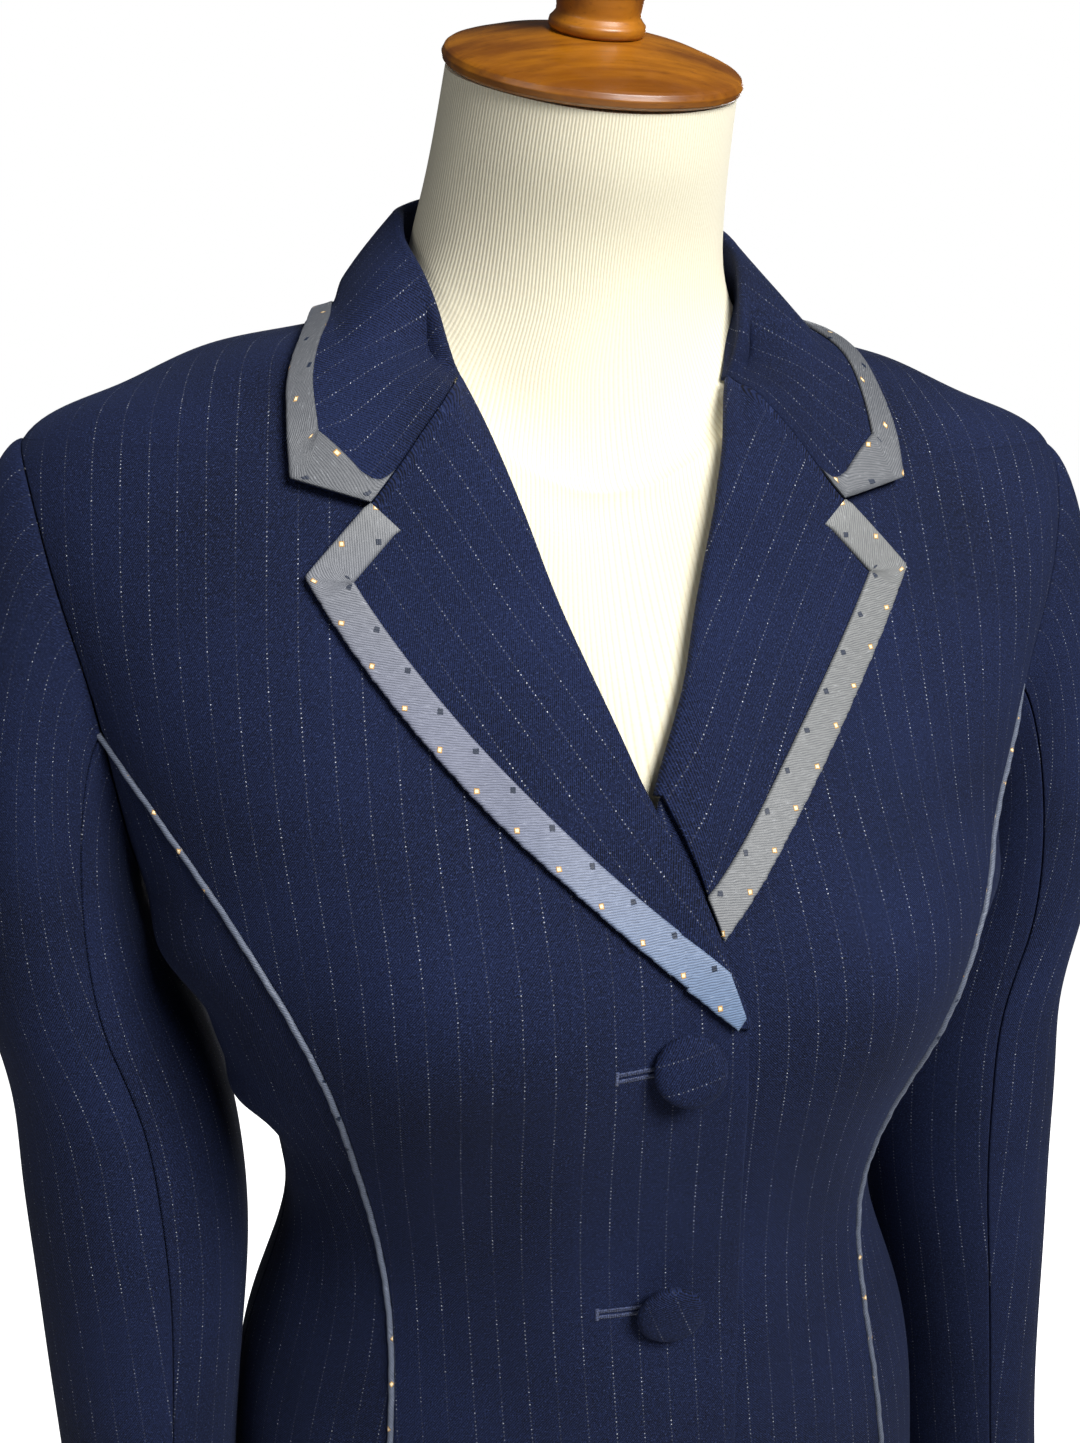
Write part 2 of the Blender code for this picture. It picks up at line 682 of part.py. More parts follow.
def lapel_points(cut, rows, radius):
    """One face of a lapel, with its fold of this radius round the front's edge."""
    flat = lapel_flat(cut, rows, LAPEL_SHARES)
    flat[-1] += SEAM_STEP
    fold_turns = np.radians([85.0, 45.0])
    fold = [flat[:, :1] + TOWARDS_OPENING * radius * math.sin(turn) for turn in fold_turns]
    fold_out = [np.full((rows, 1), CLOTH / 2 + radius * math.cos(turn)) for turn in fold_turns]
    whole = np.concatenate(fold + [flat], axis=1)
    out = np.concatenate(fold_out + [np.full(flat.shape[:2], CLOTH / 2 + radius)], axis=1)
    return on_front(whole[..., 0], whole[..., 1], out + front_lift(whole, cut.lift_under) + gorge_lift(whole))


def build_lapels(material):
    """Both lapels, folded back along the roll lines."""
    for side, cut in LAPELS.items():
        inner, outer = lapel_points(cut, 16, ROLL_RADIUS), lapel_points(cut, 16, ROLL_RADIUS + FACING)
        cloth(f"lapel_{side}", hand(inner, side), hand(outer, side), material)


def band_paths(cut, rows):
    """Outer and inner edge of the band on a lapel, drawn flat, from the notch round the peak to the low end."""
    end = np.linspace(0, 1, 3)[:-1, None] * (np.array(PEAK) - np.array(NOTCH)) + np.array(NOTCH)
    outer = np.concatenate([end, outer_curve(np.linspace(0, cut.outline_from, rows))])
    ahead = np.gradient(outer, axis=0)
    ahead[:2] = np.array(PEAK) - np.array(NOTCH)
    ahead[2] = outer[3] - outer[2]
    ahead /= np.linalg.norm(ahead, axis=1, keepdims=True)
    inward = np.stack([ahead[:, 1], -ahead[:, 0]], axis=1)
    width = np.full(len(outer), TRIM_WIDTH)
    corner = inward[1] + inward[2]
    inward[2] = corner / np.linalg.norm(corner)
    width[2] = TRIM_WIDTH / float(inward[1] @ inward[2])
    limit = band_limit(cut, outer, inward)
    width = np.minimum(width, np.maximum(limit, 0.0014))
    return outer, outer + inward * width[:, None]


def band_limit(cut, outer, inward):
    """How wide a band can be before it meets the fold of its lapel, or of the lapel that covers it."""
    crossing = np.array([0.0, CROSSING])
    over = TOWARDS_OPENING
    reach = (outer - crossing) @ over
    speed = inward @ over
    own = np.where(speed > 1e-3, -reach / np.maximum(speed, 1e-3), 1.0)
    if cut.lift_under:
        return own
    cover = TOWARDS_OPENING * np.array([1, -1])
    reach = (outer - crossing) @ cover + 0.0050
    speed = inward @ cover
    return np.minimum(own, np.where(speed > 1e-3, -reach / np.maximum(speed, 1e-3), 1.0))


def build_lapel_bands(material):
    """The silk bands along the lapels' edges."""
    for side, cut in LAPELS.items():
        outer, inner = band_paths(cut, 15)
        outer[0] += SEAM_STEP
        inner[0] += SEAM_STEP
        flat = np.stack([inner, (inner + outer) / 2, outer], axis=1)
        flat = flat[::-1]
        out = CLOTH + LAPEL_AIR + FACING + 2 * GAP + front_lift(flat, cut.lift_under) + gorge_lift(flat)
        faces = [on_front(flat[..., 0], flat[..., 1], out + extra) for extra in (0, TRIM)]
        cloth(f"lapel_band_{side}", hand(faces[0], side), hand(faces[1], side), material)


# ---------------------------------------------------------------- collar and its band

COLLAR_FOLD = 0.0014                 # radius of the collar's roll
COLLAR_NOTCH = 0.67                  # share of the collar's front end that is the gorge seam
FALL_SHARES = (0.18, 0.36, COLLAR_NOTCH - 0.17, COLLAR_NOTCH)
STAND_COLUMNS = 5
STAND_CLEAR = 0.0016                 # how far the stand starts above the neckline
BAND_AIR = 0.0019                    # room between the collar and the band sewn on it


def body_samples():
    """Points and directions of the body, for laying the collar on it."""
    angle, level = np.meshgrid(np.linspace(0, math.pi, 150), np.linspace(ARMPIT, NECKLINE, 120))
    return bare_point(angle, level).reshape(-1, 3), figure_normal(angle, level).reshape(-1, 3)


BODY_POINTS, BODY_NORMALS = body_samples()


def laid_on_body(points, out, follow):
    """The points moved out to clear the body, and fully onto it where follow is 1."""
    flat = points.reshape(-1, 3)
    nearest = np.array([np.argmin(((BODY_POINTS - p) ** 2).sum(axis=1)) for p in flat])
    normal = BODY_NORMALS[nearest]
    height = ((flat - BODY_POINTS[nearest]) * normal).sum(axis=1)
    short = out - height
    move = np.where(short > 0, short, short * follow.reshape(-1))
    return (flat + normal * move[:, None]).reshape(points.shape)


def front_place(flat, out):
    """One point of the front, drawn flat."""
    return on_front(np.array(flat[0]), np.array(flat[1]), np.array(out))


def gorge_section():
    """The collar's front end: the small fold, the gorge seam, then the free end."""
    turns = np.radians([88.0, 66.0, 44.0, 22.0, 0.0])
    gorge, notch = np.array(GORGE), np.array(NOTCH)
    point = np.array([COLLAR[0].edge_x, COLLAR[0].edge_height])
    over = TOWARDS_OPENING * ROLL_RADIUS
    fold = [front_place(gorge + over * math.sin(turn), CLOTH / 2 + ROLL_RADIUS * math.cos(turn)) for turn in turns]
    on_top = CLOTH + COLLAR_AIR
    down = [front_place(gorge + (notch - gorge) * share / COLLAR_NOTCH, on_top) for share in FALL_SHARES]
    end_share = 1 - TRIM_WIDTH / (np.linalg.norm(point - notch))
    out = [front_place(notch + (point - notch) * share, on_top) for share in (end_share, 1.0)]
    return np.stack(fold + down + out)


def collar_section(row):
    """Inner face of the collar at a row: up the stand, over the roll and down the fall."""
    level = NECKLINE + STAND_CLEAR
    base = skin(np.array(math.radians(row.angle)), level, np.array(CLOTH / 2))
    roll = np.array([row.roll_x, row.roll_y, row.roll_height + WAIST])
    edge = np.array([row.edge_x, row.edge_y, row.edge_height + WAIST])
    up = roll - (base + edge) / 2
    up /= np.linalg.norm(up)
    away = edge - base
    away -= up * (away @ up)
    away /= np.linalg.norm(away)
    top = roll - up * FACING
    inner = top - up * COLLAR_FOLD - away * COLLAR_FOLD
    outer = top - up * COLLAR_FOLD + away * COLLAR_FOLD
    stand = [base, (base + inner) / 2, inner, top, outer]
    length = np.linalg.norm(edge - outer)
    control = outer * 0.45 + edge * 0.55 + up * length * 0.02 + away * length * 0.07
    shares = FALL_SHARES + (1 - TRIM_WIDTH / (length * 1.05), 1.0)
    fall = [outer * (1 - s) ** 2 + 2 * control * s * (1 - s) + edge * s * s for s in shares]
    return np.stack(stand + fall)


def collar_half(count):
    """Sections of the collar from its front end to the centre back, with the band's width after the first."""
    sections = np.stack([gorge_section()] + [collar_section(row) for row in COLLAR[1:]])
    edges = sections[:, -1]
    along = np.concatenate([[0], np.cumsum(np.linalg.norm(np.diff(edges, axis=0), axis=1))])
    places = np.concatenate([[0], np.linspace(TRIM_WIDTH, along[-1], count - 1)])
    flat = spline(along, sections.reshape(len(along), -1)[:, 0], places)
    columns = [spline(along, values, places) for values in sections.reshape(len(along), -1).T]
    half = np.stack(columns, axis=-1).reshape(len(flat), -1, 3)
    half[0] = sections[0]
    half[-1, :, 0] = 0
    follow = np.zeros(half.shape[:2])
    follow[:, -2:] = 1
    follow[:2, STAND_COLUMNS:] = 1
    half[:, STAND_COLUMNS:] = laid_on_body(half[:, STAND_COLUMNS:], CLOTH + COLLAR_AIR, follow[:, STAND_COLUMNS:])
    return half


def collar_points(count=12):
    """The whole collar: rows from the wearer's right end round the back to the left end."""
    left = collar_half(count)
    right = left * np.array([-1, 1, 1])
    return np.concatenate([right[:-1], left[::-1]])


def build_collar(material):
    """The collar, one wall that rises round the neck and folds down over the shoulders."""
    inner = collar_points()[:, ::-1]
    cloth("collar", inner, inner + grid_normals(inner) * FACING, material)


def build_collar_band(material):
    """The silk band round the collar's free edges."""
    inner = collar_points()[:, ::-1]
    normal = grid_normals(inner)
    on_collar = (inner + normal * (FACING + BAND_AIR))[:, ::-1]
    lift = normal[:, ::-1]
    notch = STAND_COLUMNS + len(FALL_SHARES) - 1
    last = len(on_collar) - 1
    pairs = [((0, notch - 1), (0, notch)), ((1, -2), (0, -1))]
    pairs += [((i, -2), (i, -1)) for i in range(2, last - 1)]
    pairs += [((last - 1, -2), (last, -1)), ((last, notch - 1), (last, notch))]
    seams = np.array([on_collar[seam] for seam, _ in pairs])
    edges = np.array([on_collar[edge] for _, edge in pairs])
    lower = np.stack([edges, (edges + seams) / 2, seams], axis=1)
    way = np.array([[lift[edge], lift[edge] + lift[seam], lift[seam]] for seam, edge in pairs])
    way /= np.linalg.norm(way, axis=-1, keepdims=True)
    cloth("collar_band", lower, lower + way * TRIM, material)


# ---------------------------------------------------------------- piping and buttons

def build_piping(material):
    """The silk cord that lies in each princess seam."""
    level = np.append(BODY_LEVELS[BODY_LEVELS < PRINCESS_LEVEL - 0.024], PRINCESS_LEVEL - 0.022)
    angle = angle_at_line(level, princess_x)
    centre = skin(angle, level, np.full(level.shape, CLOTH + 2 * GAP + PIPING))
    normal = figure_normal(angle, level)
    along = np.gradient(centre, axis=0)
    across = np.cross(normal, along)
    across /= np.linalg.norm(across, axis=-1, keepdims=True)
    turn = np.linspace(0, 2 * math.pi, 6, endpoint=False)[None, :, None]
    rings = centre[:, None] + PIPING * (np.cos(turn) * across[:, None] + np.sin(turn) * normal[:, None])
    for side in ("left", "right"):
        tube(f"piping_{side}", hand(rings, side), material)


BUTTON_PROFILE = (
    # distance from the axis, height above the cloth
    (0.0030, 0.0000),
    (0.0030, 0.0016),
    (0.0100, 0.0016),
    (0.0117, 0.0024),
    (0.0120, 0.0036),
    (0.0114, 0.0050),
    (0.0093, 0.0063),
    (0.0055, 0.0071),
)


def turned(name, profile, steps, material, top, bottom):
    """A turned piece about its own Z axis: the profile runs upwards, with its ends closed at the given heights."""
    bm = bmesh.new()
    verts = [bm.verts.new((0, 0, bottom))] + [bm.verts.new((radius, 0, height)) for radius, height in profile]
    verts.append(bm.verts.new((0, 0, top)))
    edges = [bm.edges.new(pair) for pair in zip(verts, verts[1:])]
    whole = 2 * math.pi
    bmesh.ops.spin(bm, geom=verts + edges, axis=(0, 0, 1), cent=(0, 0, 0), angle=whole, steps=steps, use_merge=True)
    bmesh.ops.remove_doubles(bm, verts=bm.verts[:], dist=1e-6)
    bmesh.ops.recalc_face_normals(bm, faces=bm.faces[:])
    return add_object(name, bm, material)


def build_buttons(material):
    """Covered buttons on the centre front; each hangs from its shank and tips forward at the top."""
    for number, (height, droop) in enumerate(zip(BUTTON_HEIGHTS, BUTTON_DROOP), start=1):
        angle, level = locate(np.array(0.0), np.array(height))
        out = OVERLAP + CLOTH + 3 * GAP
        seat = Vector(skin(angle, level, np.array(out)))
        normal = Vector(figure_normal(angle, level))
        piece = turned(f"button_{number}", BUTTON_PROFILE, 16, material, 0.0073, 0.0)
        rest = Vector((0, 0, 1)).rotation_difference(normal).to_matrix()
        tip = Matrix.Rotation(droop * 0.35, 3, "X")
        piece.matrix_world = Matrix.Translation(seat) @ (tip @ rest).to_4x4()


# ---------------------------------------------------------------- dress form and stand

NECK_LEAN = math.atan2(FIGURE[-1].back_height - FIGURE[-1].front_height, FIGURE[-1].back_y - FIGURE[-1].front_y)
CAP_HEIGHT = 0.0130
CAP_PROFILE = (
    (0.0490, 0.0000),
    (0.0510, 0.0014),
    (0.0514, 0.0032),
    (0.0505, 0.0050),
    (0.0470, 0.0066),
    (0.0380, 0.0092),
    (0.0180, 0.0130),
)
KNOB_PROFILE = (
    (0.0155, 0.0000),
    (0.0165, 0.0020),
    (0.0155, 0.0042),
    (0.0143, 0.0060),
    (0.0150, 0.0120),
    (0.0185, 0.0200),
    (0.0218, 0.0290),
    (0.0225, 0.0370),
    (0.0200, 0.0460),
    (0.0140, 0.0525),
)
POLE_RADIUS = 0.0150
BASE_PROFILE = (
    (0.1900, 0.0000),
    (0.1940, 0.0030),
    (0.1950, 0.0080),
    (0.1930, 0.0140),
    (0.1850, 0.0180),
    (0.1500, 0.0200),
    (0.0600, 0.0230),
    (0.0330, 0.0290),
    (0.0270, 0.0400),
    (0.0250, 0.0600),
)
FORM_LEVELS = 28
FORM_COLUMNS = 28


class Throat(NamedTuple):
    """The padding that fills the hollow at the foot of the form's throat."""

    height: float = 0.300
    reach: float = 0.022
    width: float = 0.028
    depth: float = 0.008


THROAT = Throat()
LEAST_EASE = 0.0010      # room between the form and the jacket


def form_point(angle, level):
    """A point of the dress form, inside the jacket by the ease of the table."""
    side, middle = read("ease", level), read("front_ease", level)
    ease = side + (middle - side) * np.cos(angle) ** 2
    place = skin(angle, level, -np.where(level < NECKLINE, np.maximum(ease, LEAST_EASE), ease))
    above = (place[..., 2] - WAIST - THROAT.height) / THROAT.reach
    beside = place[..., 0] / THROAT.width
    place[..., 1] -= THROAT.depth * np.exp(-above ** 2 - beside ** 2) * (place[..., 1] < 0)
    return place


def build_form(material):
    """The limbless form: hips, waist, chest, shoulders and a neck that leans forward."""
    level = np.linspace(LEVELS[0], LEVELS[-1], FORM_LEVELS)[:, None]
    angle = np.linspace(-math.pi, math.pi, FORM_COLUMNS, endpoint=False)[None, :]
    rings = form_point(angle, level)
    rings[0, :, 2] = WAIST + FIGURE[0].height
    tube("form_torso", rings, material)


def build_neck_cap(wood):
    """The turned cap and its knob, square to the leaning neck."""
    top = FIGURE[-1]
    lean = Matrix.Rotation(NECK_LEAN, 4, "X")
    foot = Vector((0, top.side_y, top.height + WAIST))
    axis = lean.to_3x3() @ Vector((0, 0, 1))
    cap = turned("neck_cap", CAP_PROFILE, 32, wood, CAP_HEIGHT, 0.0)
    cap.matrix_world = Matrix.Translation(foot + axis * 3 * GAP) @ lean
    knob = turned("neck_knob", KNOB_PROFILE, 20, wood, 0.0545, 0.0)
    knob.matrix_world = Matrix.Translation(foot + axis * (CAP_HEIGHT + 4 * GAP)) @ lean


def build_stand(wood, steel):
    """The pole and the round base."""
    turned("stand_base", BASE_PROFILE, 36, wood, 0.0600, 0.0)
    bottom, top = BASE_PROFILE[-1][1] + GAP, WAIST + FIGURE[0].height - GAP
    turned("stand_pole", ((POLE_RADIUS, bottom), (POLE_RADIUS, top)), 20, steel, top, bottom)


def build_all():
    """Every piece, in the order a maker would dress the form."""
    for old in list(bpy.context.scene.objects):
        bpy.data.objects.remove(old, do_unlink=True)
    stripe = finish("navy pinstripe worsted", (0.012, 0.018, 0.060), 0.85)
    silk = finish("spotted silk band", (0.28, 0.33, 0.42), 0.55)
    jersey = finish("cream ribbed jersey", (0.86, 0.80, 0.62), 0.90)
    wood = finish("varnished beech", (0.30, 0.13, 0.03), 0.30)
    steel = finish("brushed steel", (0.55, 0.55, 0.56), 0.35, 1.0)
    build_form(jersey)
    build_neck_cap(wood)
    build_stand(wood, steel)
    for side in ("left", "right"):
        build_body(side, stripe)
        build_sleeve(side, stripe)
    build_lapels(stripe)
    build_collar(stripe)
    build_lapel_bands(silk)
    build_collar_band(silk)
    build_piping(silk)
    build_buttons(stripe)


build_all()
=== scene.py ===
"""A navy pinstripe show jacket with spotted silk bands, closed on a limbless dress form.

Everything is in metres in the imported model's own frame: +Z up, the wearer faces -Y and the wearer's left is +X.
Each cloth piece is a wall taken from one figure surface, lofted through the rings that the solids use too.
"""

import logging
import math
from dataclasses import dataclass, field, fields, replace
from enum import Enum
from functools import cache, cached_property

import bmesh
import bpy
import numpy as np
from mathutils import Matrix, Vector

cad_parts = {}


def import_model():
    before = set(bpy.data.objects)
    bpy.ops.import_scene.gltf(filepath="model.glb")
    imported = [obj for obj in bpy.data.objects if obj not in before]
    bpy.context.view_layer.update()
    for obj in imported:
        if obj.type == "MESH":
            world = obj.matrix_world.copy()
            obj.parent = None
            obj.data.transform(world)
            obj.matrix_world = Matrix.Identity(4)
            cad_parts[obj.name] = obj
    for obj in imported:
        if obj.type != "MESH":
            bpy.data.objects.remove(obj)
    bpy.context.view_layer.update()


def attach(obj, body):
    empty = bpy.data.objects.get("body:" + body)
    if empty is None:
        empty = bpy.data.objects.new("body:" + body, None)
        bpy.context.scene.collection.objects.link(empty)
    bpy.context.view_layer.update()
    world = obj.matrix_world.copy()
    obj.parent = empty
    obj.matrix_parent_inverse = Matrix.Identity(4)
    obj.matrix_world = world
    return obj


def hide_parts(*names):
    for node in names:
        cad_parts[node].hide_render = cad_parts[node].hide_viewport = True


Array = np.ndarray
LOG = logging.getLogger("jacket")

WAIST = 1.050            # height of the waist line above the floor
GAP = 0.0003             # space left between two pieces that touch or are sewn together
CLOTH = 0.0016           # wall of the body and sleeve cloth with its canvas
FACING = 0.0013          # wall of the lapels and of the collar
TRIM = 0.0010            # wall of the silk bands
TRIM_WIDTH = 0.0122      # width of the silk bands
OVERLAP = CLOTH + 3 * GAP    # how far the right front stands off where it laps over the left
TURNED_EDGE = 0.0009     # how far in from a turned edge the cloth is at its full thickness
SEAM_ROOM = GAP * 0.6    # room left on each side of a plain seam
HALF_STRIPE = 0.0050     # half the way from stripe to stripe, so that a seam falls between two
JOINED = 1e-7            # points closer than this are one
MIRROR = np.array([-1, 1, 1])


class Side(Enum):
    """The wearer's left and right."""

    LEFT = "left"
    RIGHT = "right"


# -------------------------------- small curves


def spline(knots: Array, values: Array, at: Array) -> Array:
    """Read a natural cubic curve.

    Args:
        knots: Rising places where the values are known.
        values: The known values.
        at: Places to read.

    Returns:
        The values there.
    """
    knots, values, at = (np.asarray(part, float) for part in (knots, values, at))
    step = np.diff(knots)
    rate = np.diff(values) / step
    count = len(knots)
    system, target = np.eye(count), np.zeros(count)
    for i in range(1, count - 1):
        system[i, i - 1:i + 2] = step[i - 1], 2 * (step[i - 1] + step[i]), step[i]
        target[i] = 6 * (rate[i] - rate[i - 1])
    bend = np.linalg.solve(system, target)
    i = np.clip(np.searchsorted(knots, at, side="right") - 1, 0, count - 2)
    before, after = at - knots[i], knots[i + 1] - at
    line = (values[i] * after + values[i + 1] * before) / step[i]
    low = bend[i] * (after ** 3 / step[i] - step[i] * after)
    high = bend[i + 1] * (before ** 3 / step[i] - step[i] * before)
    return line + (low + high) / 6


def ramp(value: Array, low: float, high: float) -> Array:
    """Return 0 below low, 1 above high, and a smooth step between."""
    share = np.clip((value - low) / (high - low), 0, 1)
    return share * share * (3 - 2 * share)


def halve(test, low: Array, high: Array, turns: int = 36) -> Array:
    """Find where a rising test passes zero.

    Args:
        test: A function of an array of places.
        low: Places below.
        high: Places above.
        turns: How often the stretch is halved.

    Returns:
        The places where it passes zero.
    """
    low, high = np.array(low, float), np.array(high, float)
    for _ in range(turns):
        middle = (low + high) / 2
        above = test(middle) > 0
        high = np.where(above, middle, high)
        low = np.where(above, low, middle)
    return (low + high) / 2


def unit(vectors: Array) -> Array:
    """Return the vectors at length one."""
    return vectors / np.linalg.norm(vectors, axis=-1, keepdims=True)


def run_length(points: Array, axis: int) -> Array:
    """Length along one axis of a grid of points, from its first row or column."""
    step = np.linalg.norm(np.diff(points, axis=axis), axis=-1)
    start = np.zeros_like(np.take(step, [0], axis=axis))
    return np.concatenate([start, np.cumsum(step, axis=axis)], axis=axis)


def relax(points: Array, amount: Array, turns: int) -> Array:
    """Even a grid out from row to row.

    Args:
        points: Rows by columns by 3.
        amount: How freely each point moves, 0 to 1.
        turns: How often each point moves halfway to the middle of its neighbours.

    Returns:
        The new points.
    """
    points = points.copy()
    for _ in range(turns):
        points[1:-1] += amount[1:-1, ..., None] * (points[:-2] + points[2:] - 2 * points[1:-1]) / 4
    return points


# -------------------------------- the figure


@dataclass(frozen=True)
class Ring:
    """One level of the figure; heights are above the waist line, and y is negative in front."""

    name: str
    height: float
    half_width: float
    side_y: float
    front_y: float
    front_height: float
    back_y: float
    back_height: float
    square: float
    rise: float
    ease: float
    front_ease: float


@dataclass(frozen=True)
class Fold:
    """A soft fold of the cloth; a trough has a negative depth."""

    height: float
    degrees: float
    depth: float
    spread_height: float
    spread_degrees: float
    slant: float


@dataclass(frozen=True)
class Bust:
    """The fullness that the princess seams give each side of the front."""

    apex_x: float = 0.078
    apex_height: float = 0.122
    depth: float = 0.013
    spread_x: float = 0.050
    spread_height: float = 0.052


@dataclass(frozen=True)
class Station:
    """How far a seam or an edge lies from the centre front at one height above the waist."""

    height: float
    x: float


@dataclass
class Figure:
    """The surface on which the jacket's inner face lies, and the seam lines on it."""

    rings: tuple[Ring, ...] = (
        #    name              height  width   side_y   front_y  front_h  back_y  back_h  square rise  ease    front
        Ring("form foot",      -0.275, 0.160,  0.010,  -0.108,  -0.275,   0.124, -0.275,  2.3,   2.0,  0.0060, 0.0060),
        Ring("hem",            -0.240, 0.158,  0.010,  -0.112,  -0.240,   0.127, -0.240,  2.3,   2.0,  0.0070, 0.0070),
        Ring("hip",            -0.140, 0.1475, 0.007,  -0.117,  -0.140,   0.118, -0.140,  2.3,   2.0,  0.0060, 0.0060),
        Ring("high hip",       -0.060, 0.1385, 0.004,  -0.117,  -0.060,   0.098, -0.060,  2.25,  2.0,  0.0060, 0.0060),
        Ring("waist",           0.008, 0.1195, 0.000,  -0.115,   0.008,   0.078,  0.008,  2.2,   2.0,  0.0040, 0.0060),
        Ring("ribs",            0.060, 0.1345, -0.002, -0.123,   0.060,   0.088,  0.060,  2.3,   2.0,  0.0040, 0.0060),
        Ring("bust",            0.120, 0.1585, -0.003, -0.131,   0.120,   0.104,  0.120,  2.45,  2.0,  0.0040, 0.0060),
        Ring("underarm",        0.165, 0.1710, -0.003, -0.118,   0.163,   0.113,  0.165,  2.45,  2.0,  0.0040, 0.0060),
        Ring("across chest",    0.225, 0.1870, -0.005, -0.092,   0.217,   0.119,  0.224,  2.75,  2.0,  0.0035, 0.0055),
        Ring("armhole",         0.268, 0.1980, -0.008, -0.078,   0.245,   0.117,  0.258,  2.75,  2.0,  0.0030, 0.0055),
        Ring("shoulder point",  0.3025, 0.1945, -0.0097, -0.068, 0.268,   0.110,  0.287,  2.4,   2.0,  0.0022, 0.0050),
        Ring("outer shoulder",  0.3195, 0.163, -0.007, -0.062,   0.278,   0.100,  0.309,  2.3,   2.0,  0.0016, 0.0048),
        Ring("mid shoulder",    0.3335, 0.130, -0.004, -0.056,   0.288,   0.089,  0.328,  2.2,   2.0,  0.0012, 0.0045),
        Ring("neckline",        0.3520, 0.068,  0.002, -0.0485,  0.297,   0.060,  0.362,  2.0,   1.9,  0.0046, 0.0048),
        Ring("neck base",       0.3640, 0.0575, -0.003, -0.0470, 0.326,   0.044,  0.384,  2.0,   1.2,  -0.0020, 0.0042),
        Ring("neck middle",     0.3930, 0.0540, -0.019, -0.0640, 0.370,   0.027,  0.415,  2.0,   1.0,  0.0, 0.0),
        Ring("neck top",        0.4241, 0.0500, -0.0385, -0.0832, 0.4034, 0.0062, 0.4448, 2.0,   1.0,  0.0, 0.0),
    )
    folds: tuple[Fold, ...] = (
        Fold(0.1280, 74, 0.0042, 0.0130, 17, 0.030),
        Fold(0.1000, 76, -0.0022, 0.0100, 15, 0.030),
        Fold(0.0680, 74, 0.0050, 0.0100, 16, 0.035),
        Fold(0.0400, 78, -0.0020, 0.0100, 16, 0.030),
    )
    bust: Bust = field(default_factory=Bust)
    princess: tuple[Station, ...] = (
        Station(-0.240, 0.116), Station(-0.150, 0.105), Station(-0.080, 0.0970), Station(-0.040, 0.0925),
        Station(0.000, 0.0910), Station(0.040, 0.0970), Station(0.070, 0.1040), Station(0.100, 0.1125),
        Station(0.135, 0.1290), Station(0.161, 0.1450), Station(0.181, 0.1590), Station(0.200, 0.1720),
        Station(0.225, 0.1880),
    )
    front_edge: tuple[Station, ...] = (
        Station(-0.240, 0.0225), Station(-0.100, 0.0235), Station(-0.030, 0.0265), Station(0.010, 0.0270),
        Station(0.060, 0.0245), Station(0.113, 0.0212),
    )
    crossing: float = 0.177        # height where the two roll lines cross
    roll_slope: float = 0.331      # how far a roll line runs outwards for each metre that it rises
    underarm: float = 0.147        # height of the lowest point of the armhole
    armhole_front: float = 0.040
    armhole_back: float = 0.050
    princess_top: float = 0.219

    @cached_property
    def levels(self) -> Array:
        """Length along the side line at each ring."""
        side = np.array([(ring.half_width, ring.side_y, ring.height) for ring in self.rings])
        return run_length(side, 0)

    def level_of(self, name: str) -> float:
        """The level of a named ring."""
        return float(self.levels[[ring.name for ring in self.rings].index(name)])

    def read(self, name: str, level: Array) -> Array:
        """A column of the ring table at any level."""
        return spline(self.levels, [getattr(ring, name) for ring in self.rings], level)

    def fold_depth(self, angle: Array, height: Array) -> Array:
        """How far the soft folds push the cloth out.

        Args:
            angle: Angle round the figure, from the centre front.
            height: Height above the waist.

        Returns:
            The push in metres.
        """
        push = np.zeros(np.broadcast(angle, height).shape)
        for fold in self.folds:
            off_angle = angle - math.radians(fold.degrees)
            off_height = height - fold.height + fold.slant * off_angle
            tall = (off_height / fold.spread_height) ** 2
            wide = (off_angle / math.radians(fold.spread_degrees)) ** 2
            push = push + fold.depth * np.exp(-(tall + wide))
        return push

    def point(self, angle: Array, level: Array) -> Array:
        """A point of the figure: angle 0 is the centre front, pi the centre back.

        Args:
            angle: Angle round the figure, positive on the wearer's left.
            level: Length along the side line.

        Returns:
            Points in metres.
        """
        angle, level = np.broadcast_arrays(np.asarray(angle, float), np.asarray(level, float))
        front = np.cos(angle) > 0
        side_y = self.read("side_y", level)
        depth = np.where(front, side_y - self.read("front_y", level), self.read("back_y", level) - side_y)
        power = self.read("square", level)
        across = np.abs(np.sin(angle)) / self.read("half_width", level)
        along = np.abs(np.cos(angle)) / depth
        radius = (across ** power + along ** power) ** (-1 / power)
        x, y = radius * np.sin(angle), side_y - radius * np.cos(angle)
        middle = np.where(front, self.read("front_height", level), self.read("back_height", level))
        side = self.read("height", level)
        z = side + (middle - side) * np.abs(np.cos(angle)) ** self.read("rise", level)
        bust = self.bust
        wide = ((np.abs(x) - bust.apex_x) / bust.spread_x) ** 2
        tall = ((z - bust.apex_height) / bust.spread_height) ** 2
        y = y - np.where(front, bust.depth * np.exp(-(wide + tall)) * np.minimum(1, 3 * np.cos(angle)), 0)
        push = self.fold_depth(np.abs(angle), side)
        return np.stack([x + push * np.sin(angle), y - push * np.cos(angle), z + WAIST], axis=-1)

    def normal(self, angle: Array, level: Array) -> Array:
        """The outward direction of the figure there."""
        small = 1e-4
        around = self.point(angle + small, level) - self.point(angle - small, level)
        upward = self.point(angle, level + small) - self.point(angle, level - small)
        return unit(np.cross(around, upward))

    def skin(self, angle: Array, level: Array, out: Array) -> Array:
        """A point at a distance out from the jacket's inner face."""
        return self.point(angle, level) + self.normal(angle, level) * np.asarray(out, float)[..., None]

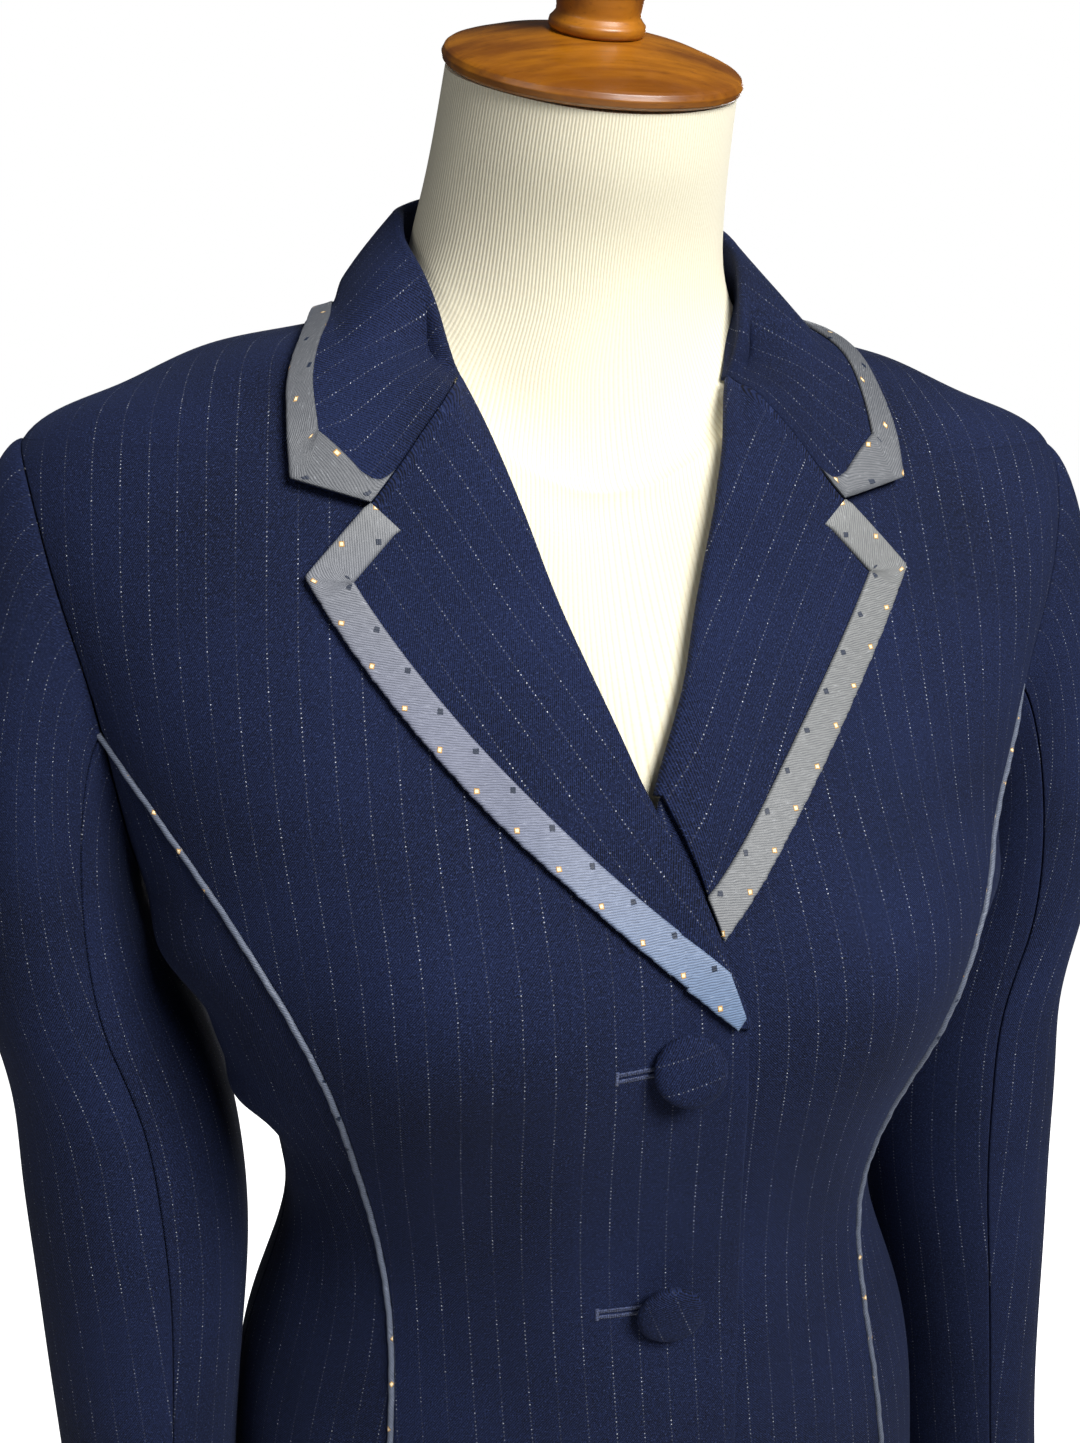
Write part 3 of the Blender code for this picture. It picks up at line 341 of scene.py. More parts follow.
    @cached_property
    def front_samples(self) -> tuple[Array, Array, Array, Array]:
        """Angles, levels, x and heights over the front, where a search may start."""
        top = self.level_of("neckline") + 0.012
        angle, level = np.meshgrid(np.linspace(-0.5, 1.45, 60), np.linspace(0, top, 90))
        place = self.point(angle, level)
        return angle.ravel(), level.ravel(), place[..., 0].ravel(), place[..., 2].ravel() - WAIST

    def locate(self, x: Array, height: Array, turns: int = 9) -> tuple[Array, Array]:
        """Find points of the front.

        Args:
            x: Distances from the centre front.
            height: Heights above the waist.
            turns: Steps of the search.

        Returns:
            The angle and level of each.
        """
        x, height = np.broadcast_arrays(np.asarray(x, float), np.asarray(height, float))
        angles, levels, known_x, known_height = self.front_samples
        nearest = np.empty(x.shape, int)
        for i, place in np.ndenumerate(x):
            nearest[i] = np.argmin((known_x - place) ** 2 + (known_height - height[i]) ** 2)
        angle, level = angles[nearest], levels[nearest]
        small = 1e-5
        for _ in range(turns):
            here = self.point(angle, level)
            by_angle = (self.point(angle + small, level) - here) / small
            by_level = (self.point(angle, level + small) - here) / small
            miss_x, miss_z = x - here[..., 0], height + WAIST - here[..., 2]
            scale = by_angle[..., 0] * by_level[..., 2] - by_level[..., 0] * by_angle[..., 2]
            turn = (miss_x * by_level[..., 2] - miss_z * by_level[..., 0]) / scale
            climb = (miss_z * by_angle[..., 0] - miss_x * by_angle[..., 2]) / scale
            angle = angle + np.clip(turn, -0.03, 0.03)
            level = level + np.clip(climb, -0.01, 0.01)
        return angle, level

    def on_front(self, flat: Array, out: Array) -> Array:
        """Points of the front from x and height pairs, at a distance out from the jacket's inner face."""
        angle, level = self.locate(flat[..., 0], flat[..., 1])
        return self.skin(angle, level, np.broadcast_to(out, angle.shape))

    # ---- seam lines

    @cached_property
    def shoulder(self) -> float:
        """Level of the shoulder point."""
        return self.level_of("shoulder point")

    @cached_property
    def armpit(self) -> float:
        """Level of the lowest point of the armhole."""
        return float(halve(lambda v: self.read("height", v) - self.underarm, 0.0, self.shoulder))

    def armhole_y(self, level: Array, front: bool) -> Array:
        """The y of the armhole's front or back edge at a level."""
        share = np.clip((level - self.armpit) / (self.shoulder - self.armpit), 0, 1)
        reach = np.sqrt(np.maximum(0, 1 - (2 * share - 1) ** 2))
        return self.read("side_y", level) + reach * (-self.armhole_front if front else self.armhole_back)

    def angle_at_y(self, level: Array, y: Array) -> Array:
        """The angle of the point at this level with this y, near the side."""
        shape = np.shape(level)
        test = lambda angle: self.point(angle, level)[..., 1] - y
        return halve(test, np.full(shape, 0.35), np.full(shape, math.pi - 0.35))

    def angle_at_line(self, level: Array, line) -> Array:
        """The angle where a level crosses a line of the front, given as x by height above the waist."""

        def beyond(angle: Array) -> Array:
            place = self.point(angle, level)
            return place[..., 0] - line(place[..., 2] - WAIST)

        shape = np.shape(level)
        return halve(beyond, np.full(shape, -0.45), np.full(shape, 1.52))

    def station_x(self, rows: tuple[Station, ...], height: Array) -> Array:
        """Read a table of stations."""
        return spline([row.height for row in rows], [row.x for row in rows], height)

    def roll_x(self, height: Array) -> Array:
        """Distance of a roll line from the centre front."""
        return (height - self.crossing) * self.roll_slope

    def inner_edge(self, height: Array) -> Array:
        """Inner edge of a front: its closing edge, then the roll line."""
        closing = -self.station_x(self.front_edge, np.minimum(height, self.front_edge[-1].height))
        return np.maximum(self.roll_x(height), closing)

    def princess_x(self, height: Array) -> Array:
        """Distance of a princess seam from the centre front."""
        return self.station_x(self.princess, height)

    def side_angle(self, level: Array, front: bool) -> Array:
        """The side seam, then the edge of the armhole, then the shoulder seam."""
        in_armhole = (level > self.armpit) & (level < self.shoulder)
        return np.where(in_armhole, self.angle_at_y(level, self.armhole_y(level, front)), math.pi / 2)

    @cached_property
    def princess_level(self) -> float:
        """Level where the princess seam meets the armhole."""

        def above(level: Array) -> Array:
            angle = self.side_angle(np.array(level), True)
            return self.point(angle, level)[..., 2] - WAIST - self.princess_top

        return float(halve(above, self.armpit, self.shoulder))


FIGURE = Figure()
TOWARDS_OPENING = np.array([-1.0, FIGURE.roll_slope]) / math.hypot(1.0, FIGURE.roll_slope)


@dataclass(frozen=True)
class Settling:
    """How the form leans and how the jacket hangs on it, a little lower and further over on one side."""

    drop: float = 0.0068               # the wearer's left shoulder is lower by this
    shift: float = 0.0026              # lapels and collar hang this far towards the wearer's right
    part_right: float = 0.0014         # the wearer's right roll line stands this much further out
    part_left: float = 0.0056          # and the left one, which hangs more open, this much
    neck_drop: float = 0.0030          # the padding at the top of the neck is pressed down by this

    def at(self, points: Array) -> Array:
        """The points in their settled places."""
        x, height = points[..., 0], points[..., 2] - WAIST
        low = self.drop * ramp(x, 0.0, 0.165) * ramp(height, 0.130, 0.260)
        low = low + self.neck_drop * ramp(height, 0.352, 0.395)
        near_roll = 1 - ramp(np.abs(x) - FIGURE.roll_x(height), 0.004, 0.048)
        part = -self.part_right + (self.part_right + self.part_left) * ramp(x, -0.003, 0.015)
        band = ramp(height, 0.120, 0.190) * (1 - ramp(height, 0.318, 0.350))
        over = (self.shift - part * near_roll) * band * (1 - ramp(np.abs(x), 0.120, 0.170))
        return points + np.stack([-over, over * 0, -low], axis=-1)


SETTLING = Settling()


# -------------------------------- finishes


def linear(code: str) -> tuple[float, float, float, float]:
    """Turn an sRGB hex colour to linear values with alpha 1."""
    parts = [int(code[i:i + 2], 16) / 255 for i in (1, 3, 5)]
    red, green, blue = (p / 12.92 if p <= 0.04045 else ((p + 0.055) / 1.055) ** 2.4 for p in parts)
    return red, green, blue, 1.0


def node(tree: bpy.types.NodeTree, kind: str, inputs: dict | None = None, **settings) -> bpy.types.Node:
    """Add a node.

    Args:
        tree: The material's node tree.
        kind: The node type's name.
        inputs: Values, or outputs to link, by socket name or number.
        **settings: Attributes of the node.

    Returns:
        The new node.
    """
    made = tree.nodes.new(kind)
    for key, value in settings.items():
        setattr(made, key, value)
    for key, value in (inputs or {}).items():
        if isinstance(value, bpy.types.NodeSocket):
            tree.links.new(value, made.inputs[key])
        else:
            made.inputs[key].default_value = value
    return made


class Mixer:
    """Builds the maths of a pattern in one material's node tree."""

    def __init__(self, name: str) -> None:
        """Start a material with an empty tree."""
        self.material = bpy.data.materials.new(name)
        self.material.use_nodes = True
        self.tree = self.material.node_tree
        self.tree.nodes.clear()

    def add(self, kind: str, inputs: dict | None = None, **settings) -> bpy.types.Node:
        """Add a node to this material."""
        return node(self.tree, kind, inputs, **settings)

    def math(self, operation: str, *values: object) -> bpy.types.NodeSocket:
        """One step of arithmetic on sockets and numbers."""
        return self.add("ShaderNodeMath", dict(enumerate(values)), operation=operation).outputs[0]

    def span(self, value: bpy.types.NodeSocket, low: float, high: float, start: float = 0.0,
             end: float = 1.0) -> bpy.types.NodeSocket:
        """Map low..high smoothly to start..end."""
        inputs = {"Value": value, "From Min": low, "From Max": high, "To Min": start, "To Max": end}
        return self.add("ShaderNodeMapRange", inputs, interpolation_type="SMOOTHSTEP").outputs["Result"]

    def colour(self, factor: object, first: object, second: object, blend: str = "MIX") -> bpy.types.NodeSocket:
        """Mix two colours; a colour is a hex code or a socket."""
        pair = [linear(c) if isinstance(c, str) else c for c in (first, second)]
        inputs = {0: factor, 6: pair[0], 7: pair[1]}
        return self.add("ShaderNodeMix", inputs, data_type="RGBA", blend_type=blend).outputs[2]

    def cloth_map(self) -> list[bpy.types.NodeSocket]:
        """The cloth's own UV map, its U and its V, in metres."""
        uv = self.add("ShaderNodeUVMap", uv_map="cloth").outputs[0]
        return [uv, *self.add("ShaderNodeSeparateXYZ", {0: uv}).outputs[:2]]

    def ribs(self, value: bpy.types.NodeSocket, width: float) -> bpy.types.NodeSocket:
        """Even ribs across a coordinate: 0 in each groove and 1 on each crest."""
        return self.math("DIVIDE", self.math("PINGPONG", value, width / 2), width / 2)

    def blend(self, first: bpy.types.NodeSocket, share: float, second: bpy.types.NodeSocket,
              rest: float) -> bpy.types.NodeSocket:
        """Two patterns added up, each by its share."""
        return self.math("ADD", self.math("MULTIPLY", first, share), self.math("MULTIPLY", second, rest))

    def streaks(self, vector: bpy.types.NodeSocket, scale: tuple[float, ...], detail: float = 2.0,
                rough: float = 0.5) -> bpy.types.NodeSocket:
        """Soft noise drawn out into streaks by its own scale on each axis."""
        drawn = self.add("ShaderNodeMapping", {"Vector": vector, "Scale": scale}).outputs[0]
        return self.noise(drawn, 1.0, detail, rough)

    def noise(self, vector: bpy.types.NodeSocket, scale: float, detail: float = 2.0,
              rough: float = 0.5) -> bpy.types.NodeSocket:
        """Soft noise, 0 to 1."""
        inputs = {"Vector": vector, "Scale": scale, "Detail": detail, "Roughness": rough}
        return self.add("ShaderNodeTexNoise", inputs).outputs["Fac"]

    def finish(self, inputs: dict, height: bpy.types.NodeSocket | None, depth: float) -> bpy.types.Material:
        """Close the tree with its surface shader.

        Args:
            inputs: Sockets of the surface shader.
            height: The relief, 0 to 1, or None.
            depth: The real depth of the relief in metres.

        Returns:
            The material.
        """
        shader = self.add("ShaderNodeBsdfPrincipled", inputs)
        if height is not None:
            bump = self.add("ShaderNodeBump", {"Height": height, "Distance": depth, "Strength": 1.0})
            self.tree.links.new(bump.outputs["Normal"], shader.inputs["Normal"])
        self.add("ShaderNodeOutputMaterial", {"Surface": shader.outputs[0]})
        return self.material


@dataclass(frozen=True)
class Suiting:
    """Worsted twill with a silver lurex pinstripe: a fine diagonal wale, matt, and bright dots in the stripe."""

    name: str = "worsted_twill_pinstripe"
    ground: str = "#1A2549"
    shade: str = "#040714"
    lint: str = "#43517C"
    silver: str = "#F0F5FF"
    pitch: float = 0.0100          # from stripe to stripe
    dot: float = 0.00155           # from dot to dot along a stripe
    dot_half: float = 0.00018
    line_half: float = 0.00020
    wale: float = 0.00090          # from wale to wale; twice the real size, so that it shows

    def material(self) -> bpy.types.Material:
        """Build the material; it reads the cloth's own UV map, which is in metres."""
        mix = Mixer(self.name)
        uv, u, v = mix.cloth_map()
        wale = mix.ribs(mix.math("ADD", u, mix.math("MULTIPLY", v, 0.9)), self.wale)
        grit = mix.noise(uv, 1500.0, 2.0, 0.75)
        nap = mix.noise(uv, 520.0, 3.0, 0.75)
        cloud = mix.noise(uv, 11.0, 2.0, 0.5)
        weave = mix.blend(wale, 0.35, grit, 0.65)
        tone = mix.blend(weave, 0.7, nap, 0.3)
        tone = mix.math("ADD", tone, mix.math("MULTIPLY", mix.math("SUBTRACT", cloud, 0.5), 0.25))
        cloth = mix.colour(mix.span(tone, 0.36, 0.60), self.shade, self.ground)
        cloth = mix.colour(mix.span(grit, 0.56, 0.76, 0.0, 0.8), cloth, self.lint)
        across = mix.math("PINGPONG", u, self.pitch / 2)
        line = mix.span(across, self.line_half * 0.5, self.line_half * 1.4, 1.0, 0.0)
        along = mix.math("PINGPONG", v, self.dot / 2)
        dots = mix.span(along, self.dot_half * 0.5, self.dot_half * 1.4, 1.0, 0.0)
        cell = mix.math("ROUND", mix.math("DIVIDE", v, self.dot))
        stripe = mix.math("ROUND", mix.math("DIVIDE", u, self.pitch))
        seed = mix.add("ShaderNodeCombineXYZ", {0: cell, 1: stripe}).outputs[0]
        chance = mix.add("ShaderNodeTexWhiteNoise", {"Vector": seed}, noise_dimensions="3D").outputs[0]
        worn = mix.span(mix.streaks(uv, (100.0, 22.0, 1.0), 2.0, 0.6), 0.38, 0.62, 0.15, 1.0)
        bright = mix.math("ADD", mix.math("MULTIPLY", mix.math("POWER", chance, 3.2), 0.88), 0.12)
        dot = mix.math("MULTIPLY", mix.math("MULTIPLY", line, dots), mix.math("MULTIPLY", bright, worn))
        mask = mix.math("MAXIMUM", dot, mix.math("MULTIPLY", line, 0.006))
        relief = mix.math("ADD", weave, mix.math("MULTIPLY", dot, 0.5))
        inputs = {
            "Base Color": mix.colour(mask, cloth, self.silver),
            "Roughness": mix.math("SUBTRACT", 0.88, mix.math("MULTIPLY", dot, 0.45)),
            "Specular IOR Level": 0.22,
            "Sheen Weight": 0.06,
            "Sheen Roughness": 0.40,
            "Sheen Tint": linear("#7F92CC"),
        }
        return mix.finish(inputs, relief, 0.00026)


@dataclass(frozen=True)
class ShotSilk:
    """Ribbed shot silk: a grey warp and a pale blue weft, with woven square spots of gold and of navy."""

    name: str = "spotted_shot_silk"
    grey: str = "#7F807E"
    blue: str = "#7A93B6"
    lilac: str = "#7E8296"
    # painted shade in the rib grooves, and the darker tone of thin slubs
    rib_shade: str = "#343943"
    gold: str = "#C8984F"
    gold_core: str = "#FFEBC0"
    navy: str = "#0E1E36"
    lattice: float = 0.0115        # from one gold spot to the next
    spot: float = 0.00085          # half of a spot's side
    rib: float = 0.00075

    def spots(self, mix: Mixer, u: object, v: object, half: float) -> bpy.types.NodeSocket:
        """A mask of square spots on the lattice."""
        sides = []
        for value in (u, v):
            near = mix.math("PINGPONG", value, self.lattice / 2)
            sides.append(mix.span(near, half * 0.85, half * 1.1, 1.0, 0.0))
        return mix.math("MULTIPLY", *sides)

    def material(self) -> bpy.types.Material:
        """Build the material; its UV map is in metres along the silk's threads, and tone is an attribute that paints
        the shot silk's sheen, grey to blue.
        """
        mix = Mixer(self.name)
        uv, u, v = mix.cloth_map()
        tone = mix.add("ShaderNodeAttribute", attribute_name="tone").outputs["Fac"]
        slub = mix.streaks(uv, (260.0, 2000.0, 1.0), 3.0, 0.7)
        weave = mix.blend(mix.ribs(v, self.rib), 0.4, slub, 0.6)
        # grey to lilac to blue by tone: painted sheen of the shot silk
        low = mix.colour(mix.span(tone, 0.0, 0.5), self.grey, self.lilac)
        silk = mix.colour(mix.span(tone, 0.5, 1.0), low, self.blue)
        # darker in the rib grooves, painted shade, and where the slub is thin
        silk = mix.colour(mix.span(weave, 0.28, 0.62, 0.62, 0.0), silk, self.rib_shade)
        silk = mix.colour(mix.span(slub, 0.58, 0.78, 0.0, 0.45), silk, "#D4D8E0")
        fray = mix.math("MULTIPLY", mix.noise(uv, 1400.0, 2.0), 0.00035)
        cells = [mix.math("ROUND", mix.math("DIVIDE", value, self.lattice)) for value in (u, v)]
        odd = mix.math("PINGPONG", mix.math("ADD", *cells), 1.0)
        even = mix.math("SUBTRACT", 1.0, odd)
        gold = mix.math("MULTIPLY", even, self.spots(mix, u, v, self.spot))
        core = mix.math("MULTIPLY", even, self.spots(mix, u, v, self.spot * 0.62))
        ragged = [mix.math("ADD", value, fray) for value in (u, v)]
        navy = mix.math("MULTIPLY", odd, self.spots(mix, *ragged, self.spot * 1.05))
        silk = mix.colour(mix.math("MULTIPLY", navy, mix.span(slub, 0.2, 0.5, 0.80, 1.0)), silk, self.navy)
        silk = mix.colour(gold, silk, self.gold)
        silk = mix.colour(core, silk, self.gold_core)
        relief = mix.math("ADD", weave, mix.math("MULTIPLY", mix.math("ADD", gold, navy), 0.8))
        inputs = {
            "Base Color": silk,
            "Roughness": 0.52,
            "Sheen Weight": 0.12,
            "Sheen Roughness": 0.35,
            "Sheen Tint": linear("#C8D4F0"),
            "Specular IOR Level": 0.45,
        }
        return mix.finish(inputs, relief, 0.00014)


@dataclass(frozen=True)
class RibJersey:
    """Cream cotton rib jersey stretched on the form: fine upright ribs, matt and a little fluffy."""

    name: str = "cream_rib_jersey"
    ground: str = "#FBF4D9"
    # painted shade in the grooves between the ribs
    groove: str = "#E6D9B2"
    rib: float = 0.00125

    def material(self) -> bpy.types.Material:
        """Build the material; U is metres round the form and V is metres up."""
        mix = Mixer(self.name)
        uv, u, _ = mix.cloth_map()
        rib = mix.ribs(u, self.rib)
        fluff = mix.noise(uv, 900.0, 3.0, 0.6)
        course = mix.streaks(uv, (30.0, 700.0, 1.0))
        cloud = mix.noise(uv, 14.0, 2.0)
        tone = mix.blend(rib, 0.6, fluff, 0.4)
        # darker in the rib grooves: painted shade, mixed with the fluff's random tone
        base = mix.colour(mix.span(tone, 0.05, 0.55), self.groove, self.ground)
        base = mix.colour(mix.span(cloud, 0.35, 0.75, 0.0, 0.25), base, "#F3E6C6")
        relief = mix.blend(rib, 0.7, course, 0.3)
        inputs = {"Base Color": base, "Roughness": 0.9, "Sheen Weight": 0.25, "Sheen Roughness": 0.6}
        return mix.finish(inputs, relief, 0.00022)


@dataclass(frozen=True)
class VarnishedBeech:
    """Beech, turned and varnished honey brown: soft grain lines under a clear gloss coat."""

    name: str = "varnished_beech"
    light: str = "#AD6B0E"
    dark: str = "#733F06"
    pore: str = "#4A2606"

    def material(self) -> bpy.types.Material:
        """Build the material on Object coordinates, with the grain along X."""
        mix = Mixer(self.name)
        place = mix.add("ShaderNodeTexCoord").outputs["Object"]
        grain = mix.streaks(place, (6.0, 90.0, 90.0), 5.0, 0.6)
        pores = mix.streaks(place, (120.0, 900.0, 900.0))
        patch = mix.noise(place, 22.0, 3.0, 0.5)
        base = mix.colour(mix.span(grain, 0.3, 0.7), self.dark, self.light)
        base = mix.colour(mix.span(patch, 0.35, 0.75, 0.0, 0.35), base, "#98580F")
        base = mix.colour(mix.span(pores, 0.58, 0.75, 0.0, 0.35), base, self.pore)
        worn = mix.noise(place, 160.0, 3.0, 0.6)
        inputs = {
            "Base Color": base,
            "Roughness": mix.span(worn, 0.3, 0.8, 0.36, 0.52),
            "Coat Weight": 0.35,
            "Coat Roughness": 0.24,
        }
        return mix.finish(inputs, mix.math("ADD", pores, mix.math("MULTIPLY", grain, 0.5)), 0.00005)


@dataclass(frozen=True)
class BrushedSteel:
    """Steel tube, brushed along its length: grey, half bright, with fine upright lines."""

    name: str = "brushed_steel"
    colour: str = "#C4C5C8"

    def material(self) -> bpy.types.Material:
        """Build the material on Object coordinates, with the lines along Z."""
        mix = Mixer(self.name)
        place = mix.add("ShaderNodeTexCoord").outputs["Object"]
        lines = mix.streaks(place, (2500.0, 2500.0, 8.0))
        inputs = {
            "Base Color": mix.colour(mix.span(lines, 0.3, 0.7), "#AEB0B4", self.colour),
            "Metallic": 1.0,
            "Roughness": mix.span(lines, 0.2, 0.8, 0.28, 0.42),
        }
        return mix.finish(inputs, lines, 0.00002)


@dataclass(frozen=True)
class Twist:
    """Mercerised buttonhole twist in navy: round, tight and slightly bright."""

    name: str = "navy_buttonhole_twist"
    light: str = "#47537A"
    dark: str = "#0E1430"

    def material(self) -> bpy.types.Material:
        """Build the material on Object coordinates."""
        mix = Mixer(self.name)
        place = mix.add("ShaderNodeTexCoord").outputs["Object"]
        ply = mix.noise(place, 2600.0, 1.0)
        base = mix.colour(mix.span(ply, 0.35, 0.65), self.dark, self.light)
        return mix.finish({"Base Color": base, "Roughness": 0.5, "Sheen Weight": 0.2}, ply, 0.00006)


@dataclass(frozen=True)
class StudioWhite:
    """Seamless studio paper, matt white and bright enough to read as white."""

    name: str = "studio_paper"

    def material(self) -> bpy.types.Material:
        """Build the material."""
        mix = Mixer(self.name)
        grain = mix.noise(mix.add("ShaderNodeTexCoord").outputs["Object"], 40.0, 2.0)
        inputs = {
            "Base Color": mix.colour(grain, "#F6F6F6", "#FFFFFF"),
            "Roughness": 0.9,
            "Emission Color": linear("#FFFFFF"),
            "Emission Strength": mix.add("ShaderNodeLightPath").outputs["Is Camera Ray"],
        }
        return mix.finish(inputs, grain, 0.00002)


@cache
def material_of(finish: object) -> bpy.types.Material:
    """The material of a finish, which is made once."""
    return finish.material()


# -------------------------------- making pieces


def to_object(name: str, bm: bmesh.types.BMesh, finish: object) -> bpy.types.Object:
    """Turn a bmesh into a smooth-shaded object at the origin.

    Args:
        name: The piece's name.
        bm: Its mesh, which is freed.
        finish: Its finish.

    Returns:
        The object, riding on the part's one body.
    """
    mesh = bpy.data.meshes.new(name)
    bm.to_mesh(mesh)
    bm.free()
    mesh.materials.append(material_of(finish))
    mesh.shade_smooth()
    mesh.set_sharp_from_angle(angle=math.radians(60))
    piece = bpy.data.objects.new(name, mesh)
    bpy.context.scene.collection.objects.link(piece)
    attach(piece, "root")
    LOG.info("%s: %d faces", name, len(mesh.polygons))
    return piece


def assign(piece: bpy.types.Object, replaces: str | None) -> bpy.types.Object:
    """Hide the node that a piece stands for, if any."""
    if replaces:
        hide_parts(replaces)
    return piece


def lay_map(mesh: bpy.types.Mesh, uv: Array, tone: Array | None = None) -> None:
    """Give a mesh its UV map in metres from its grid, by the spot number that each vertex keeps.

    Args:
        mesh: The mesh, with an integer attribute named spot.
        uv: Rows by columns by 2.
        tone: The silk's tone, its painted sheen, 0 to 1, for each grid point, or None.
    """
    spot = np.empty(len(mesh.vertices), np.int32)
    mesh.attributes["spot"].data.foreach_get("value", spot)
    corner = np.empty(len(mesh.loops), np.int32)
    mesh.loops.foreach_get("vertex_index", corner)
    layer = mesh.uv_layers.new(name="cloth")
    layer.data.foreach_set("uv", uv.reshape(-1, 2)[spot[corner]].astype(np.float32).ravel())
    if tone is not None:
        shade = mesh.attributes.new("tone", "FLOAT", "POINT")
        shade.data.foreach_set("value", tone.ravel()[spot].astype(np.float32))
    mesh.attributes.remove(mesh.attributes["spot"])


def sheet_grid(points: Array) -> tuple[bmesh.types.BMesh, list, object]:
    """A grid shaped to the points, each vertex with its spot number.

    Args:
        points: Rows by columns by 3.

    Returns:
        The bmesh, its vertices and the layer of spot numbers.
    """
    rows, columns = points.shape[:2]
    bm = bmesh.new()
    layer = bm.verts.layers.int.new("spot")
    verts = bmesh.ops.create_grid(bm, x_segments=columns - 1, y_segments=rows - 1, size=1.0)["verts"]
    for number, (vert, place) in enumerate(zip(verts, points.reshape(-1, 3))):
        vert.co = place
        vert[layer] = number
    return bm, verts, layer


@dataclass
class Edges:
    """Which edges of a piece of cloth turn over softly."""

    first: bool = True
    last: bool = True
    low: bool = True
    high: bool = True
    turn: float = TURNED_EDGE
    depth: float = 0.38

    def flipped(self) -> "Edges":
        """The edges of the mirror image."""
        return replace(self, first=self.last, last=self.first)

    def taper(self, points: Array) -> Array:
        """Share of the full thickness at each point."""
        along, up = run_length(points, 1), run_length(points, 0)
        far = np.full(points.shape[:2], 1.0)
        near = np.minimum.reduce([
            along if self.first else far,
            along[:, -1:] - along if self.last else far,
            up if self.low else far,
            up[-1:] - up if self.high else far,
        ])
        rest = 1 - np.clip(near / self.turn, 0, 1)
        return 1 - self.depth * (1 - np.sqrt(np.maximum(0, 1 - rest ** 2)))


@dataclass
class Cloth:
    """One piece of cloth, as two faces with a soft edge between them."""

    name: str
    inner: Array
    outer: Array
    uv: Array
    finish: object
    slot: str
    edges: Edges = field(default_factory=Edges)
    tone: Array | None = None

    def flipped(self) -> "Cloth":
        """The mirror image of this piece, still facing out."""
        tone = None if self.tone is None else self.tone[:, ::-1]
        inner, outer = self.inner[:, ::-1] * MIRROR, self.outer[:, ::-1] * MIRROR
        return replace(self, inner=inner, outer=outer, uv=self.uv[:, ::-1], edges=self.edges.flipped(), tone=tone)

    def on(self, side: Side) -> "Cloth":
        """The piece as cut for one side."""
        return self if side is Side.LEFT else self.flipped()

    def build(self, replaces: str | None = None) -> bpy.types.Object:
        """Make the object.

        Args:
            replaces: The node that it stands for, if any.

        Returns:
            The piece.
        """
        outer = self.inner + (self.outer - self.inner) * self.edges.taper(self.outer)[..., None]
        bm, _, layer = sheet_grid(SETTLING.at(outer))
        raised = bmesh.ops.extrude_face_region(bm, geom=bm.faces[:], use_keep_orig=True)["geom"]
        places = SETTLING.at(self.inner).reshape(-1, 3)
        for part in raised:
            if isinstance(part, bmesh.types.BMVert):
                part.co = places[part[layer]]
        bmesh.ops.recalc_face_normals(bm, faces=bm.faces[:])
        piece = to_object(self.name, bm, self.finish)
        lay_map(piece.data, self.uv, self.tone)
        return assign(piece, replaces)


# -------------------------------- the body's panels


def spread(first: Array, last: Array, count: int, length: Array) -> Array:
    """Columns between two values on each row, with close ones at both ends where the edge turns over.

    Args:
        first: The value at the start of each row.
        last: The value at the end of each row.
        count: Even columns between the close ones.
        length: The real length of each row.

    Returns:
        Rows by columns of values.
    """
    near = np.minimum(TURNED_EDGE / np.maximum(length, 1e-4), 0.08)[:, None]
    inside = near * 2 + (1 - near * 4) * np.linspace(0, 1, count)
    start, end = [near * 0, near * 0.45, near], [1 - near, 1 - near * 0.45, near * 0 + 1]
    share = np.concatenate([*start, inside, *end], axis=1)
    return first[:, None] * (1 - share) + last[:, None] * share


def ends(low: float, high: float, inside: Array) -> Array:
    """Rows from low to high with close ones at both ends."""
    turn = TURNED_EDGE
    kept = inside[(inside > low + turn * 1.5) & (inside < high - turn * 1.5)]
    return np.concatenate([[low, low + turn * 0.45, low + turn], kept, [high - turn, high - turn * 0.45, high]])


